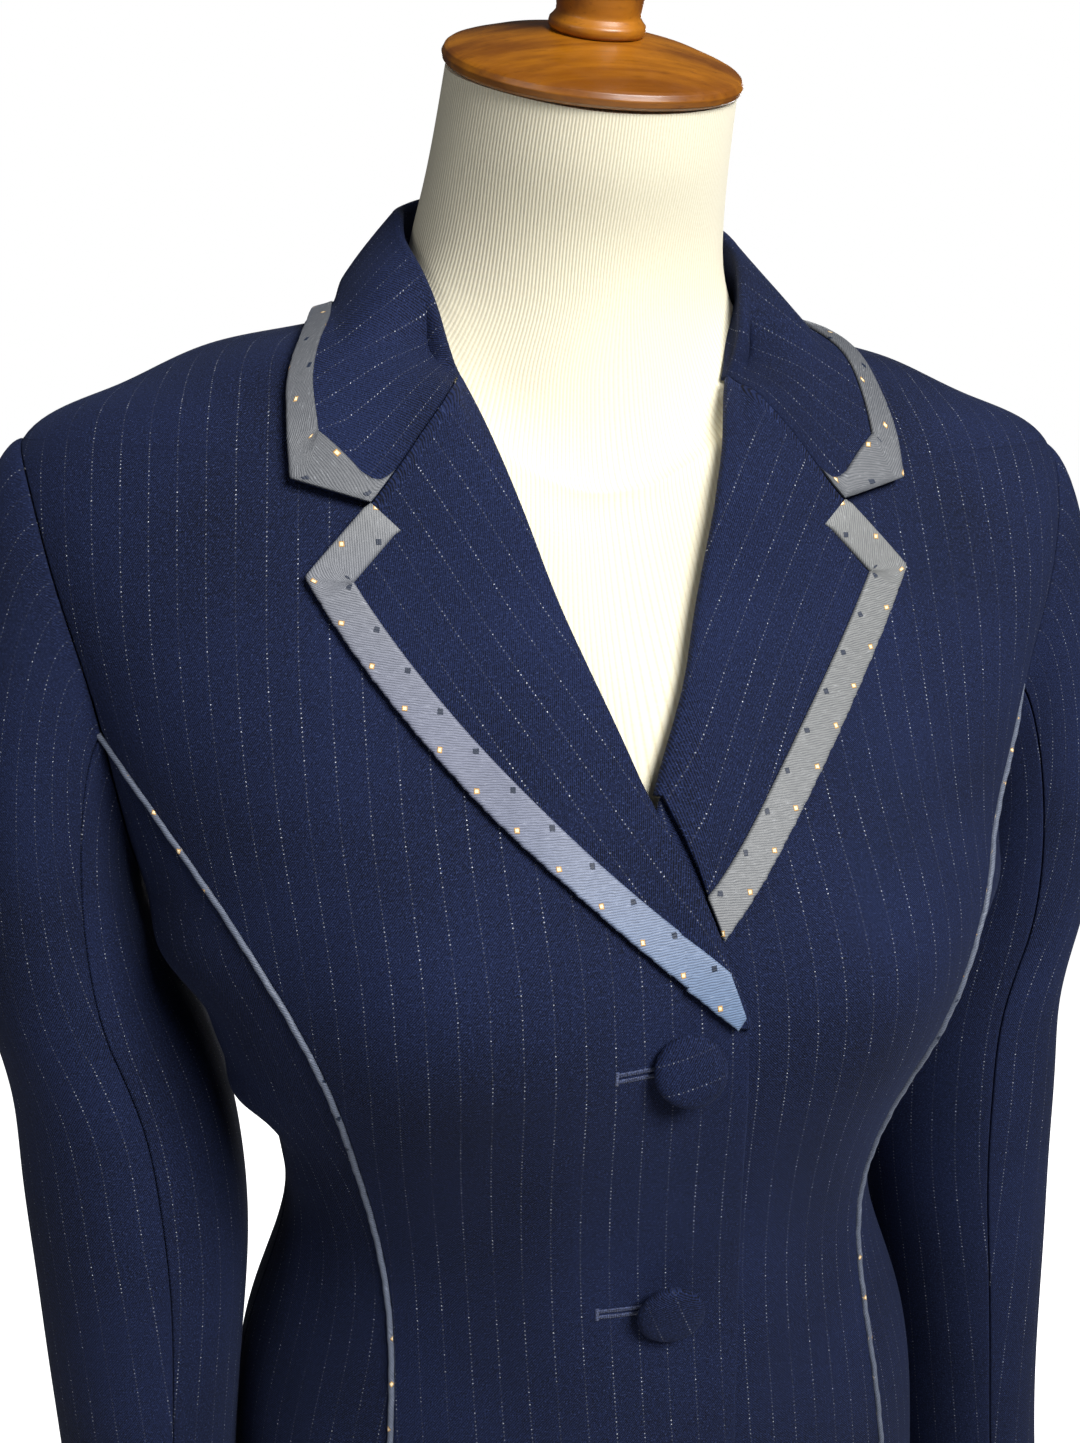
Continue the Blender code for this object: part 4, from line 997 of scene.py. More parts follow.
@dataclass(frozen=True)
class Body:
    """The three panels of one side of the jacket's body."""

    step: float = 0.003
    columns: int = 40
    cord_room: float = 0.0006          # room left at a princess seam for its cord, on each side
    neckline_trim: float = 0.0036
    stripe_turn: float = 0.120         # height where the stripes of a front are furthest from the centre
    stripe_low: float = 0.04           # how fast they run in below it on the wearer's right
    stripe_low_left: float = -0.05     # and on the left, where the dart lets them run out
    stripe_high: float = 0.04          # and above it

    @cached_property
    def levels(self) -> Array:
        """Rows from the hem to the neckline."""
        low, high = FIGURE.level_of("hem"), FIGURE.level_of("neckline") - self.neckline_trim
        below = np.arange(low, FIGURE.armpit, self.step)
        hole = FIGURE.armpit + (FIGURE.shoulder - FIGURE.armpit) * (1 - np.cos(np.linspace(0, math.pi, 50))) / 2
        above = np.arange(FIGURE.shoulder, high, self.step)[1:]
        return ends(low, high, np.concatenate([below, hole, above]))

    def row_length(self, level: Array, first: Array, last: Array) -> Array:
        """Real length of each row."""
        angle = first[:, None] + (last - first)[:, None] * np.linspace(0, 1, 9)
        return run_length(FIGURE.point(angle, level[:, None]), 1)[:, -1]

    @staticmethod
    def lift(x: Array, height: Array) -> Array:
        """How far the right front is raised where it laps over the left; x is negative past the centre."""
        high = 1 - ramp(height, FIGURE.crossing + 0.02, FIGURE.crossing + 0.07)
        loose = 0.0008 * (1 - ramp(x, -0.024, -0.006)) * (1 - ramp(height, 0.080, 0.110))
        return OVERLAP * (1 - ramp(x, 0.030, 0.062)) * high + loose

    def panel(self, name: str, side: Side, level: Array, first: Array, last: Array, margin: tuple[float, float],
              datum: str) -> Cloth:
        """A panel between two seam angles on each level.

        Args:
            name: The panel's name.
            side: Which side it is for.
            level: Its rows.
            first: The angle of its first seam on each row.
            last: The angle of its last seam.
            margin: Room left at the first and the last seam, in metres.
            datum: Where the stripes are counted from: centre, middle or last.

        Returns:
            The piece.
        """
        width = FIGURE.read("half_width", level)
        length = self.row_length(level, first, last)
        angle = spread(first + margin[0] / width, last - margin[1] / width, self.columns, length)
        level = np.broadcast_to(level[:, None], angle.shape)
        out = np.zeros(angle.shape)
        if name == "front" and side is Side.RIGHT:
            place = FIGURE.point(angle, level)
            out = self.lift(place[..., 0], place[..., 2] - WAIST)
        inner, outer = FIGURE.skin(angle, level, out), FIGURE.skin(angle, level, out + CLOTH)
        across = run_length(outer, 1)
        if datum == "centre":
            height = outer[..., 2] - WAIST - self.stripe_turn
            low = self.stripe_low if side is Side.RIGHT else self.stripe_low_left
            lean = np.where(height < 0, -low, self.stripe_high) * height
            across = across + outer[:, :1, 0] + HALF_STRIPE + lean
        elif datum == "middle":
            across = across - across[:, [across.shape[1] // 2]]
        else:
            across = across - across[:, -1:] + HALF_STRIPE
        uv = np.stack([across, run_length(outer, 0)], axis=-1)
        return Cloth(f"{name}_{side.value}", inner, outer, uv, Suiting(), "suiting").on(side)

    def front(self, side: Side) -> Cloth:
        """The front, from the closing edge and roll line to the princess seam, armhole and shoulder seam."""
        level = self.levels
        seam = FIGURE.side_angle(level, True)
        on_princess = FIGURE.angle_at_line(level, FIGURE.princess_x)
        last = np.where(level < FIGURE.princess_level, np.minimum(on_princess, seam), seam)
        margin = np.where(level < FIGURE.princess_level, self.cord_room, SEAM_ROOM)
        first = FIGURE.angle_at_line(level, FIGURE.inner_edge)
        return self.panel("front", side, level, first, last, (SEAM_ROOM, margin), "centre")

    def side_front(self, side: Side) -> Cloth:
        """The side front, from the princess seam to the side seam and the armhole."""
        top = FIGURE.princess_level - 0.002
        level = ends(FIGURE.level_of("hem"), top, self.levels[self.levels < top])
        first = FIGURE.angle_at_line(level, FIGURE.princess_x)
        last = np.maximum(FIGURE.side_angle(level, True), first + 0.02)
        return self.panel("side_front", side, level, first, last, (self.cord_room, SEAM_ROOM), "middle")

    def back(self, side: Side) -> Cloth:
        """The back, from the side seam and the armhole to the centre back seam."""
        level = self.levels
        first = FIGURE.side_angle(level, False)
        last = np.full(level.shape, math.pi)
        return self.panel("back", side, level, first, last, (SEAM_ROOM, SEAM_ROOM), "last")


# -------------------------------- sleeves


@dataclass(frozen=True)
class SleeveRing:
    """One level of a hanging sleeve, as an ellipse."""

    height: float
    centre_x: float
    centre_y: float
    half_x: float
    half_y: float


@dataclass(frozen=True)
class Sleeve:
    """A set-in sleeve that hangs flat at the side, in an upper and an under piece."""

    rings: tuple[SleeveRing, ...] = (
        SleeveRing(0.090, 0.1900, 0.012, 0.0375, 0.0650), SleeveRing(0.060, 0.1825, 0.010, 0.0398, 0.0620),
        SleeveRing(0.030, 0.1795, 0.007, 0.0417, 0.0605), SleeveRing(-0.010, 0.1782, 0.004, 0.0412, 0.0590),
        SleeveRing(-0.050, 0.1795, 0.001, 0.0380, 0.0570), SleeveRing(-0.110, 0.1815, -0.003, 0.0332, 0.0540),
        SleeveRing(-0.160, 0.1840, -0.007, 0.0318, 0.0510), SleeveRing(-0.215, 0.1895, -0.013, 0.0300, 0.0470),
        SleeveRing(-0.272, 0.1945, -0.019, 0.0290, 0.0440),
    )
    forearm_seam: float = math.radians(105)
    hindarm_seam: float = math.radians(-120)

    def armhole(self, turn: Array) -> tuple[Array, Array]:
        """The armhole's edge and its outward direction: turn 0 is the shoulder, a quarter is the front."""
        level = FIGURE.armpit + (FIGURE.shoulder - FIGURE.armpit) * (1 + np.cos(turn)) / 2
        reach = np.where(np.sin(turn) > 0, FIGURE.armhole_front, FIGURE.armhole_back)
        angle = FIGURE.angle_at_y(level, FIGURE.read("side_y", level) - reach * np.sin(turn))
        return FIGURE.point(angle, level), FIGURE.normal(angle, level)

    def ring(self, height: Array, turn: Array) -> Array:
        """A point of the hanging part."""
        rows = self.rings[::-1]
        heights = [row.height for row in rows]
        names = [column.name for column in fields(SleeveRing)[1:]]
        size = {name: spline(heights, [getattr(row, name) for row in rows], height) for name in names}
        x = size["centre_x"] + size["half_x"] * np.cos(turn)
        y = size["centre_y"] - size["half_y"] * np.sin(turn)
        return np.stack(np.broadcast_arrays(x, y, WAIST + height), axis=-1)

    def head(self, share: Array, turn: Array) -> Array:
        """A point between the armhole, share 0, and the first hanging ring, share 1."""
        edge, normal = self.armhole(turn)
        crown = ((1 + np.cos(turn)) / 2)[..., None]
        leave = unit(np.array([0.40, 0, -1]) * (1 - crown) + np.array([1.0, 0, -0.10]) * crown)
        start = edge + normal * (CLOTH + GAP) - leave * SEAM_ROOM
        height, small = np.full(turn.shape, self.rings[0].height), 0.001
        end, below = self.ring(height, turn), self.ring(height - small, turn)
        first = leave * (0.030 + 0.030 * crown)
        last = (below - end) / small * (0.040 + 0.200 * crown)
        t = share[:, None, None]
        return (start * (2 * t ** 3 - 3 * t ** 2 + 1) + first * (t ** 3 - 2 * t ** 2 + t)
                + end * (3 * t ** 2 - 2 * t ** 3) + last * (t ** 3 - t ** 2))

    def rows(self, turn: Array) -> Array:
        """Points at these turns, from the cuff up to the armhole."""
        heights = np.concatenate([self.rings[-1].height + np.array([0, 0.0004, 0.0009]),
                                  np.linspace(self.rings[-1].height + 0.002, self.rings[0].height, 110)])
        hanging = self.ring(heights[:, None], turn[None, :])
        share = np.concatenate([np.linspace(1, 0.016, 56)[1:], [0.008, 0.0035, 0.0]])
        return np.concatenate([hanging, self.head(share, turn)])

    def piece(self, name: str, side: Side) -> Cloth:
        """The upper or the under piece.

        Args:
            name: upper or under.
            side: Which side it is for.

        Returns:
            The piece.
        """
        parting, small = math.radians(0.25), 1e-3
        if name == "upper":
            first, last, count = self.forearm_seam - parting, self.hindarm_seam + parting, 76
        else:
            first, last, count = self.hindarm_seam + 2 * math.pi - parting, self.forearm_seam + parting, 50
        wide = np.array([0.20 if name == "upper" else 0.13])
        turn = spread(np.array([first]), np.array([last]), count, wide)[0]
        outer = self.rows(turn)
        around = self.rows(turn - small) - self.rows(turn + small)
        normal = unit(np.cross(around, np.gradient(outer, axis=0)))
        across = run_length(outer, 1)
        datum = int(np.argmin(np.abs(turn))) if name == "upper" else outer.shape[1] // 2
        uv = np.stack([across - across[:, [datum]] + 0.004, run_length(outer, 0)], axis=-1)
        title = f"sleeve_{name}_{side.value}"
        return Cloth(title, outer - normal * CLOTH, outer, uv, Suiting(), "suiting").on(side)


# -------------------------------- lapels and their bands


@dataclass(frozen=True)
class LapelCut:
    """Where one lapel starts: the upper lapel runs to the closing edge, the lower one stops under it."""

    roll_from: float     # height where the fold starts
    outline_from: float  # place on the outer curve, 0 at the peak and 1 at the tip
    laps_over: bool


@dataclass(frozen=True)
class Lapel:
    """A notched lapel folded back along its roll line, drawn on the front as x and height above the waist."""

    gorge: tuple[float, float] = (0.0473, 0.3200)
    notch: tuple[float, float] = (0.0835, 0.2800)
    peak: tuple[float, float] = (0.1055, 0.2578)
    bulge_top: tuple[float, float] = (0.0830, 0.2120)
    bulge_low: tuple[float, float] = (0.0345, 0.1530)
    tip: tuple[float, float] = (-0.0212, 0.1115)
    notch_share: float = 0.63
    air: float = 0.0009                # room between a front and the lapel
    collar_air: float = 0.0026         # room between the body and the collar
    rise_from: float = 0.2450          # height where a lapel starts to rise to the collar
    roll_swell: float = 0.0011         # soft swell beside the fold
    seam_step: tuple[float, float] = (-0.0003, -0.0006)
    stripe_slope: float = math.radians(59.5)

    def cut(self, side: Side) -> LapelCut:
        """The sizes that differ between the two sides."""
        return LapelCut(0.1140, 0.975, True) if side is Side.RIGHT else LapelCut(0.1848, 0.780, False)

    @property
    def radius(self) -> float:
        """Inner radius of the fold round the front's edge."""
        return CLOTH / 2 + self.air

    def outer_curve(self, share: Array) -> Array:
        """The outer edge, from its peak, 0, to its tip, 1."""
        share = np.asarray(share, float)[..., None]
        stops = [np.array(p) for p in (self.peak, self.bulge_top, self.bulge_low, self.tip)]
        rest = 1 - share
        return (stops[0] * rest ** 3 + 3 * stops[1] * rest ** 2 * share
                + 3 * stops[2] * rest * share ** 2 + stops[3] * share ** 3)

    def rise(self, flat: Array) -> Array:
        """The lapel rises a little to meet the collar at the gorge seam."""
        return (self.collar_air + GAP - self.air) * ramp(flat[..., 1], self.rise_from, self.notch[1])

    def flat(self, cut: LapelCut, up: Array, across: Array) -> Array:
        """The lapel drawn flat: rows from its low end to the gorge, columns from the fold to the outer edge."""
        up, across = up[:, None], across[None, :, None]
        roll_height = cut.roll_from + (self.gorge[1] - cut.roll_from) * up
        roll = np.stack([FIGURE.roll_x(roll_height), roll_height], axis=-1)
        edge = self.outer_curve(cut.outline_from * (1 - up))
        flat = roll * (1 - across) + edge * across
        chord = np.array(self.gorge) * (1 - self.notch_share) + np.array(self.peak) * self.notch_share
        tent = np.minimum(across / self.notch_share, (1 - across) / (1 - self.notch_share))
        bend = (ramp(up, 0.45, 1.0) ** 1.5)[..., None]
        return flat + bend * tent * (np.array(self.notch) - chord)

    def under(self, flat: Array, cut: LapelCut) -> Array:
        """How far the front under the lapel and the collar's rise lift it."""
        lift = Body.lift(flat[..., 0], flat[..., 1]) if cut.laps_over else 0
        return lift + self.rise(flat)

    def piece(self, side: Side) -> Cloth:
        """The lapel of one side."""
        cut = self.cut(side)
        up = np.concatenate([[0, 0.003, 0.006], np.linspace(0.012, 0.992, 84), [0.996, 0.998, 1]])
        inside = np.linspace(0, 1, 62)[1:-1]
        across = np.sort(np.concatenate([[0], inside[inside < 0.985], [self.notch_share, 0.989, 0.995, 1]]))
        flat = self.flat(cut, up, across)
        flat[-1] += self.seam_step
        turns = np.radians(np.linspace(86, 10, 7))
        fold = [flat[:, :1] + TOWARDS_OPENING * self.radius * math.sin(turn) for turn in turns]
        whole = np.concatenate(fold + [flat], axis=1)
        angle, level = FIGURE.locate(whole[..., 0], whole[..., 1])
        width = np.linalg.norm(flat[:, -1] - flat[:, 0], axis=-1)[:, None]
        far = across[None, :] * width
        reach = np.maximum(width - TRIM_WIDTH, 0.001)
        swell = self.roll_swell * np.sin(math.pi * np.clip(far / reach, 0, 1) ** 0.6)
        swell = swell * ramp(width, 0.012, 0.030)
        faces = []
        for radius in (self.radius, self.radius + FACING):
            fold_out = [np.full((len(up), 1), CLOTH / 2 + radius * math.cos(turn)) for turn in turns]
            out = np.concatenate(fold_out + [swell + CLOTH / 2 + radius], axis=1) + self.under(whole, cut)
            free = np.broadcast_to(ramp(up, 0.72, 0.86)[:, None], out.shape)
            faces.append(relax(FIGURE.skin(angle, level, out), free, 70))
        grain = np.array([math.cos(self.stripe_slope), math.sin(self.stripe_slope)])
        uv = np.stack([whole @ np.array([grain[1], -grain[0]]), whole @ grain], axis=-1)
        edges = Edges(first=False)
        return Cloth(f"lapel_{side.value}", *faces, uv, Suiting(), "suiting", edges).on(side)


SILK_EDGE = {"turn": 0.0010, "depth": 0.7}     # the silk's folded edge is rounder than the cloth's


def shot_sheen_at(points: Array) -> Array:
    """The silk's tone, grey high on the jacket and bluer low, from 0 to 1: painted sheen, standing in for the shot
    silk's change of colour with its angle to light and view.
    """
    return np.clip((WAIST + 0.300 - points[..., 2]) / 0.200, 0, 1)


def on_bias(along: Array, across: Array, angle: float) -> Array:
    """The UV of silk laid at an angle to its threads."""
    c, s = math.cos(angle), math.sin(angle)
    return np.stack([along * c + across * s, along * s - across * c], axis=-1)


@dataclass(frozen=True)
class LapelBand:
    """The silk band along a lapel's edge, cut on the bias and mitred at the peak."""

    lapel: Lapel = field(default_factory=Lapel)
    corner: float = 0.0011             # radius of the soft corner at the peak
    overhang: float = 0.0004
    bias: float = math.radians(45)
    cover_margin: float = 0.0024       # how far the left band stops short of the lapel that covers it
    left_tone: float = 0.15            # the left band's painted sheen is greyer: at its angle it shows more of its grey warp

    def limit(self, cut: LapelCut, outer: Array, inward: Array) -> Array:
        """How wide the band can be before it meets the fold of its lapel, or of the lapel that covers it."""
        crossing = np.array([0.0, FIGURE.crossing])
        speed = inward @ TOWARDS_OPENING
        reach = (outer - crossing) @ TOWARDS_OPENING
        own = np.where(speed > 1e-3, -reach / np.maximum(speed, 1e-3), 1.0)
        if cut.laps_over:
            return own
        cover = TOWARDS_OPENING * np.array([1, -1])
        reach = (outer - crossing) @ cover + self.cover_margin
        speed = inward @ cover
        return np.minimum(own, np.where(speed > 1e-3, -reach / np.maximum(speed, 1e-3), 1.0))

    def paths(self, cut: LapelCut) -> tuple[Array, Array, Array]:
        """Outer and inner edge from the notch round the peak to the low end, and the length along."""
        notch, peak = np.array(self.lapel.notch), np.array(self.lapel.peak)
        edge = (peak - notch) / np.linalg.norm(peak - notch)
        run = self.lapel.outer_curve(np.linspace(0, cut.outline_from, 240))
        length = run_length(run, 0)
        away = unit(np.gradient(run, axis=0))
        short = 1 - np.linspace(1, 0, 12)[:-1, None]
        first = notch + (peak - notch - edge * self.corner) * short
        start = length > self.corner
        second, ahead_second = run[start], away[start]
        inner_second = second + np.stack([ahead_second[:, 1], -ahead_second[:, 0]], axis=1) * TRIM_WIDTH
        inward_first = np.array([edge[1], -edge[0]])
        turn = unit(inward_first + np.array([away[0, 1], -away[0, 0]]))
        mitre = peak + turn * TRIM_WIDTH / float(inward_first @ turn)
        share = np.linspace(0, 1, 7)[1:-1, None]
        bend = ((peak - edge * self.corner) * (1 - share) ** 2 + 2 * peak * share * (1 - share)
                + second[0] * share ** 2)
        inner_first = first + inward_first * TRIM_WIDTH
        past = (inner_first - mitre) @ edge > 0
        inner_first[past] = mitre
        inward = inner_second - second
        early = (inner_second - mitre) @ away[0] < 0
        width = np.minimum(TRIM_WIDTH, np.maximum(self.limit(cut, second, inward / TRIM_WIDTH), 0.0014))
        inner_second = second + inward / TRIM_WIDTH * width[:, None]
        inner_second[early] = mitre
        outer = np.concatenate([first, bend, second])
        inner = np.concatenate([inner_first, np.repeat(mitre[None], len(bend), axis=0), inner_second])
        return outer, inner, run_length(outer, 0)

    def piece(self, side: Side) -> Cloth:
        """The band of one side."""
        cut = self.lapel.cut(side)
        outer, inner, along = self.paths(cut)
        outer[0] += self.lapel.seam_step
        inner[0] += self.lapel.seam_step
        inward = unit(inner - outer)
        nick = np.sin(along * 900) * np.sin(along * 330 + 1) + 0.5 * np.sin(along * 2100 + 2)
        outer = outer - inward * (self.overhang + 0.00016 * nick * ramp(along, 0.02, 0.05))[:, None]
        share = np.array([0, 0.03, 0.07, 0.14, 0.22, 0.32, 0.42, 0.52, 0.62, 0.72, 0.82, 0.90, 0.95, 0.98, 1])
        flat = inner[:, None] * (1 - share[None, :, None]) + outer[:, None] * share[None, :, None]
        flat = flat[::-1]
        angle, level = FIGURE.locate(flat[..., 0], flat[..., 1])
        base = CLOTH + self.lapel.air + FACING + GAP + self.lapel.under(flat, cut)
        faces = [FIGURE.skin(angle, level, base + extra) for extra in (0, TRIM)]
        from_edge = np.linalg.norm(flat - flat[:, -1:], axis=-1) - 0.0022
        s = (along[::-1])[:, None] + np.zeros(from_edge.shape)
        uv = on_bias(s, from_edge, self.bias)
        # painted sheen by height, greyer on the left band
        tone = shot_sheen_at(faces[1]) * (1.0 if cut.laps_over else self.left_tone)
        title, edges = f"lapel_band_{side.value}", Edges(**SILK_EDGE)
        return Cloth(title, *faces, uv, ShotSilk(), "silk_trim", edges, tone).on(side)


# -------------------------------- collar and its band


@dataclass(frozen=True)
class CollarRow:
    """One section of the collar, above the waist; the angle is where its stand meets the neckline."""

    roll: tuple[float, float, float]
    edge: tuple[float, float, float]
    degrees: float


@dataclass(frozen=True)
class Collar:
    """The collar: it rises round the neck, folds along its roll and falls on the shoulders."""

    lapel: Lapel = field(default_factory=Lapel)
    rows: tuple[CollarRow, ...] = (
        CollarRow((0.0473, -0.0430, 0.3200), (0.1080, -0.0670, 0.2880), 46),
        CollarRow((0.0530, -0.0398, 0.3389), (0.1080, -0.0594, 0.3051), 62),
        CollarRow((0.0585, -0.0297, 0.3574), (0.1049, -0.0453, 0.3187), 78),
        CollarRow((0.0623, -0.0160, 0.3710), (0.0975, -0.0204, 0.3317), 93),
        CollarRow((0.0608, 0.0010, 0.3825), (0.0906, 0.0103, 0.3423), 108),
        CollarRow((0.0556, 0.0236, 0.3890), (0.0827, 0.0417, 0.3472), 125),
        CollarRow((0.0417, 0.0448, 0.3957), (0.0631, 0.0695, 0.3497), 142),
        CollarRow((0.0218, 0.0563, 0.3989), (0.0336, 0.0854, 0.3506), 161),
        CollarRow((0.0000, 0.0605, 0.4003), (0.0000, 0.0905, 0.3513), 180),
    )
    fold: float = 0.0014               # radius of the roll
    notch_share: float = 0.67          # share of the front end that is the gorge seam
    stand_clear: float = 0.0016
    band_air: float = 0.0003
    stand_columns: int = 8
    fold_columns: int = 9
    count: int = 110

    @cached_property
    def shares(self) -> Array:
        """Columns of the fall, from the roll to the free edge."""
        upper = np.linspace(0, self.notch_share, 27)[1:]
        lower = np.linspace(self.notch_share, 0.975, 15)[1:]
        return np.concatenate([upper, lower, [0.985, 0.993, 1.0]])

    def gorge_section(self) -> Array:
        """The front end: the small fold, the gorge seam, then the free end."""
        lapel = self.lapel
        fold = np.linspace(44, 0, self.fold_columns + 1)[1:]
        turns = np.radians(np.concatenate([np.linspace(88, 44, self.stand_columns), fold]))
        gorge, notch = np.array(lapel.gorge), np.array(lapel.notch)
        point = np.array([self.rows[0].edge[0], self.rows[0].edge[2]])
        flat = [gorge + TOWARDS_OPENING * lapel.radius * math.sin(turn) for turn in turns]
        out = [CLOTH / 2 + lapel.radius * math.cos(turn) for turn in turns]
        for share in self.shares:
            low = min(share / self.notch_share, 1)
            high = max(0, (share - self.notch_share) / (1 - self.notch_share))
            flat.append(gorge + (notch - gorge) * low + (point - notch) * high)
            out.append(CLOTH + lapel.collar_air)
        return FIGURE.on_front(np.array(flat), np.array(out))

    def section(self, row: CollarRow) -> Array:
        """Inner face at a row: up the stand, over the roll and down the fall."""
        level = FIGURE.level_of("neckline") + self.stand_clear
        base = FIGURE.skin(np.array(math.radians(row.degrees)), np.array(level), np.array(CLOTH / 2))
        lift = np.array([0, 0, WAIST])
        roll, edge = np.array(row.roll) + lift, np.array(row.edge) + lift
        up = unit(roll - (base + edge) / 2)
        away = edge - base
        away = unit(away - up * (away @ up))
        centre = roll - up * (FACING + self.fold)
        inner, outer = centre - away * self.fold, centre + away * self.fold
        stand = [base + (inner - base) * share for share in np.linspace(0, 1, self.stand_columns)]
        bends = np.linspace(math.pi, 0, self.fold_columns + 1)[1:]
        arc = [centre + (away * math.cos(bend) + up * math.sin(bend)) * self.fold for bend in bends]
        length = np.linalg.norm(edge - outer)
        control = outer * 0.45 + edge * 0.55 + up * length * 0.02 + away * length * 0.07
        fall = [outer * (1 - s) ** 2 + 2 * control * s * (1 - s) + edge * s * s for s in self.shares]
        return np.stack(stand + arc + fall)

    def laid(self, points: Array, out: float, follow: Array) -> Array:
        """The points moved out to clear the body, and fully onto it where follow is 1."""
        angles = np.linspace(0, math.pi, 170)
        levels = np.linspace(FIGURE.armpit, FIGURE.level_of("neckline"), 130)
        angle, level = np.meshgrid(angles, levels)
        body, directions = FIGURE.point(angle, level).reshape(-1, 3), FIGURE.normal(angle, level).reshape(-1, 3)
        flat = points.reshape(-1, 3)
        nearest = np.array([np.argmin(((body - place) ** 2).sum(axis=1)) for place in flat])
        normal = directions[nearest]
        short = out - ((flat - body[nearest]) * normal).sum(axis=1)
        move = np.where(short > 0, short, short * follow.reshape(-1))
        step = (normal * move[:, None]).reshape(points.shape)
        for _ in range(3):
            step[1:-1, 1:-1] = (step[:-2, 1:-1] + step[2:, 1:-1] + step[1:-1, :-2] + step[1:-1, 2:]) / 4
        return points + step

    @cached_property
    def half(self) -> Array:
        """Sections from the front end to the centre back, on the wearer's left."""
        sections = np.stack([self.gorge_section()] + [self.section(row) for row in self.rows[1:]])
        along = run_length(sections[:, -1], 0)
        places = self.places(along[-1])
        flat = sections.reshape(len(along), -1)
        half = np.stack([spline(along, values, places) for values in flat.T], axis=-1)
        half = half.reshape(len(places), -1, 3)
        half[0] = sections[0]
        half[-1, :, 0] = 0
        start = self.stand_columns + self.fold_columns
        follow = np.zeros(half.shape[:2])
        follow[:, start:] = np.clip((self.shares - self.notch_share) / 0.10, 0, 1)
        front = 1 - ramp(places, TRIM_WIDTH, TRIM_WIDTH + 0.020)
        follow[:, start:] = np.maximum(follow[:, start:], front[:, None])
        half[:, start:] = self.laid(half[:, start:], CLOTH + self.lapel.collar_air, follow[:, start:])
        return half

    def places(self, length: float) -> Array:
        """Lengths along the free edge at which there is a row."""
        return np.concatenate([[0, 0.0004, 0.0009], np.linspace(0.0022, length, self.count)])

    @cached_property
    def whole(self) -> Array:
        """Inner face: rows from the right end round the back to the left end, columns from edge to stand."""
        left = self.half
        return np.concatenate([(left * MIRROR)[:-1], left[::-1]])[:, ::-1]

    def piece(self) -> Cloth:
        """The collar."""
        inner = self.whole
        normal = unit(np.cross(np.gradient(inner, axis=1), np.gradient(inner, axis=0)))
        outer = inner + normal * FACING
        middle = len(self.shares) // 2
        round_neck = run_length(outer[:, [middle]], 0)
        centre = round_neck[len(round_neck) // 2]
        uv = np.stack([(round_neck - centre) + np.zeros(outer.shape[:2]), run_length(outer, 1)], axis=-1)
        return Cloth("collar", inner, outer, uv, Suiting(), "suiting")

    def band(self) -> Cloth:
        """The silk band round the collar's free edges, mitred at its two points."""
        half = self.half
        start = self.stand_columns + self.fold_columns
        fall = half[:, start:]
        normal = unit(np.cross(np.gradient(half, axis=1), np.gradient(half, axis=0)))[:, start:]
        normal = -normal if normal[40, 20, 2] < 0 else normal
        along = run_length(half[:, -1], 0)
        width = 1 - TRIM_WIDTH / (run_length(fall, 1)[:, -1] * 1.02)
        rows = np.arange(len(along), dtype=float)
        leg = np.linspace(0, 1, 26)
        outer_leg = np.stack([np.zeros(26), self.notch_share + (1 - self.notch_share) * leg], axis=1)
        corner_row = float(np.interp(TRIM_WIDTH, along, rows))
        corner_share = float(np.interp(corner_row, rows, width))
        inner_leg = np.stack([corner_row * leg, 0.50 + (corner_share - 0.50) * leg], axis=1)
        run = np.arange(1, len(along))
        outer_run = np.stack([run, np.ones(len(run))], axis=1)
        inner_share = np.where(run < corner_row, corner_share, width[run])
        inner_run = np.stack([np.maximum(run, corner_row), inner_share], axis=1)
        outer, inner = np.concatenate([outer_leg, outer_run]), np.concatenate([inner_leg, inner_run])
        share = np.array([0, 0.03, 0.08, 0.18, 0.30, 0.42, 0.54, 0.66, 0.78, 0.88, 0.94, 0.98, 1])
        share = share[None, :, None]
        at = outer[:, None] * (1 - share) + inner[:, None] * share
        place, lift = self.sample(fall, at), unit(self.sample(normal, at))
        left = place + lift * (FACING + self.band_air)
        upper = left + lift * TRIM
        edge_run = run_length(upper[:, :1], 0)
        s = edge_run + np.zeros(at.shape[:2])
        t = np.linalg.norm(upper - upper[:, :1], axis=-1) - 0.003
        lower_all = np.concatenate([left * MIRROR, left[::-1][1:]])
        upper_all = np.concatenate([upper * MIRROR, upper[::-1][1:]])
        s_all = np.concatenate([s, (2 * s[-1:, :] - s)[::-1][1:]])
        t_all = np.concatenate([t, t[::-1][1:]])
        uv = on_bias(s_all, t_all, math.radians(28))
        # the band silk in darker colours with half its tone: painted shade and painted sheen for the collar band's
        # angle to the light
        silk = ShotSilk("spotted_shot_silk_shaded", grey="#65676B", lilac="#687686", rib_shade="#2C313A")
        tone = shot_sheen_at(upper_all) * 0.5
        return Cloth("collar_band", lower_all, upper_all, uv, silk, "silk_trim", Edges(**SILK_EDGE), tone)

    def sample(self, grid: Array, at: Array) -> Array:
        """Read a grid of the fall at rows and shares between its points."""
        row = np.clip(at[..., 0], 0, grid.shape[0] - 1.001)
        column = np.interp(at[..., 1], self.shares, np.arange(len(self.shares)))
        column = np.clip(column, 0, grid.shape[1] - 1.001)
        i, j = row.astype(int), column.astype(int)
        a, b = (row - i)[..., None], (column - j)[..., None]
        return ((grid[i, j] * (1 - a) + grid[i + 1, j] * a) * (1 - b)
                + (grid[i, j + 1] * (1 - a) + grid[i + 1, j + 1] * a) * b)


# -------------------------------- turned and round things


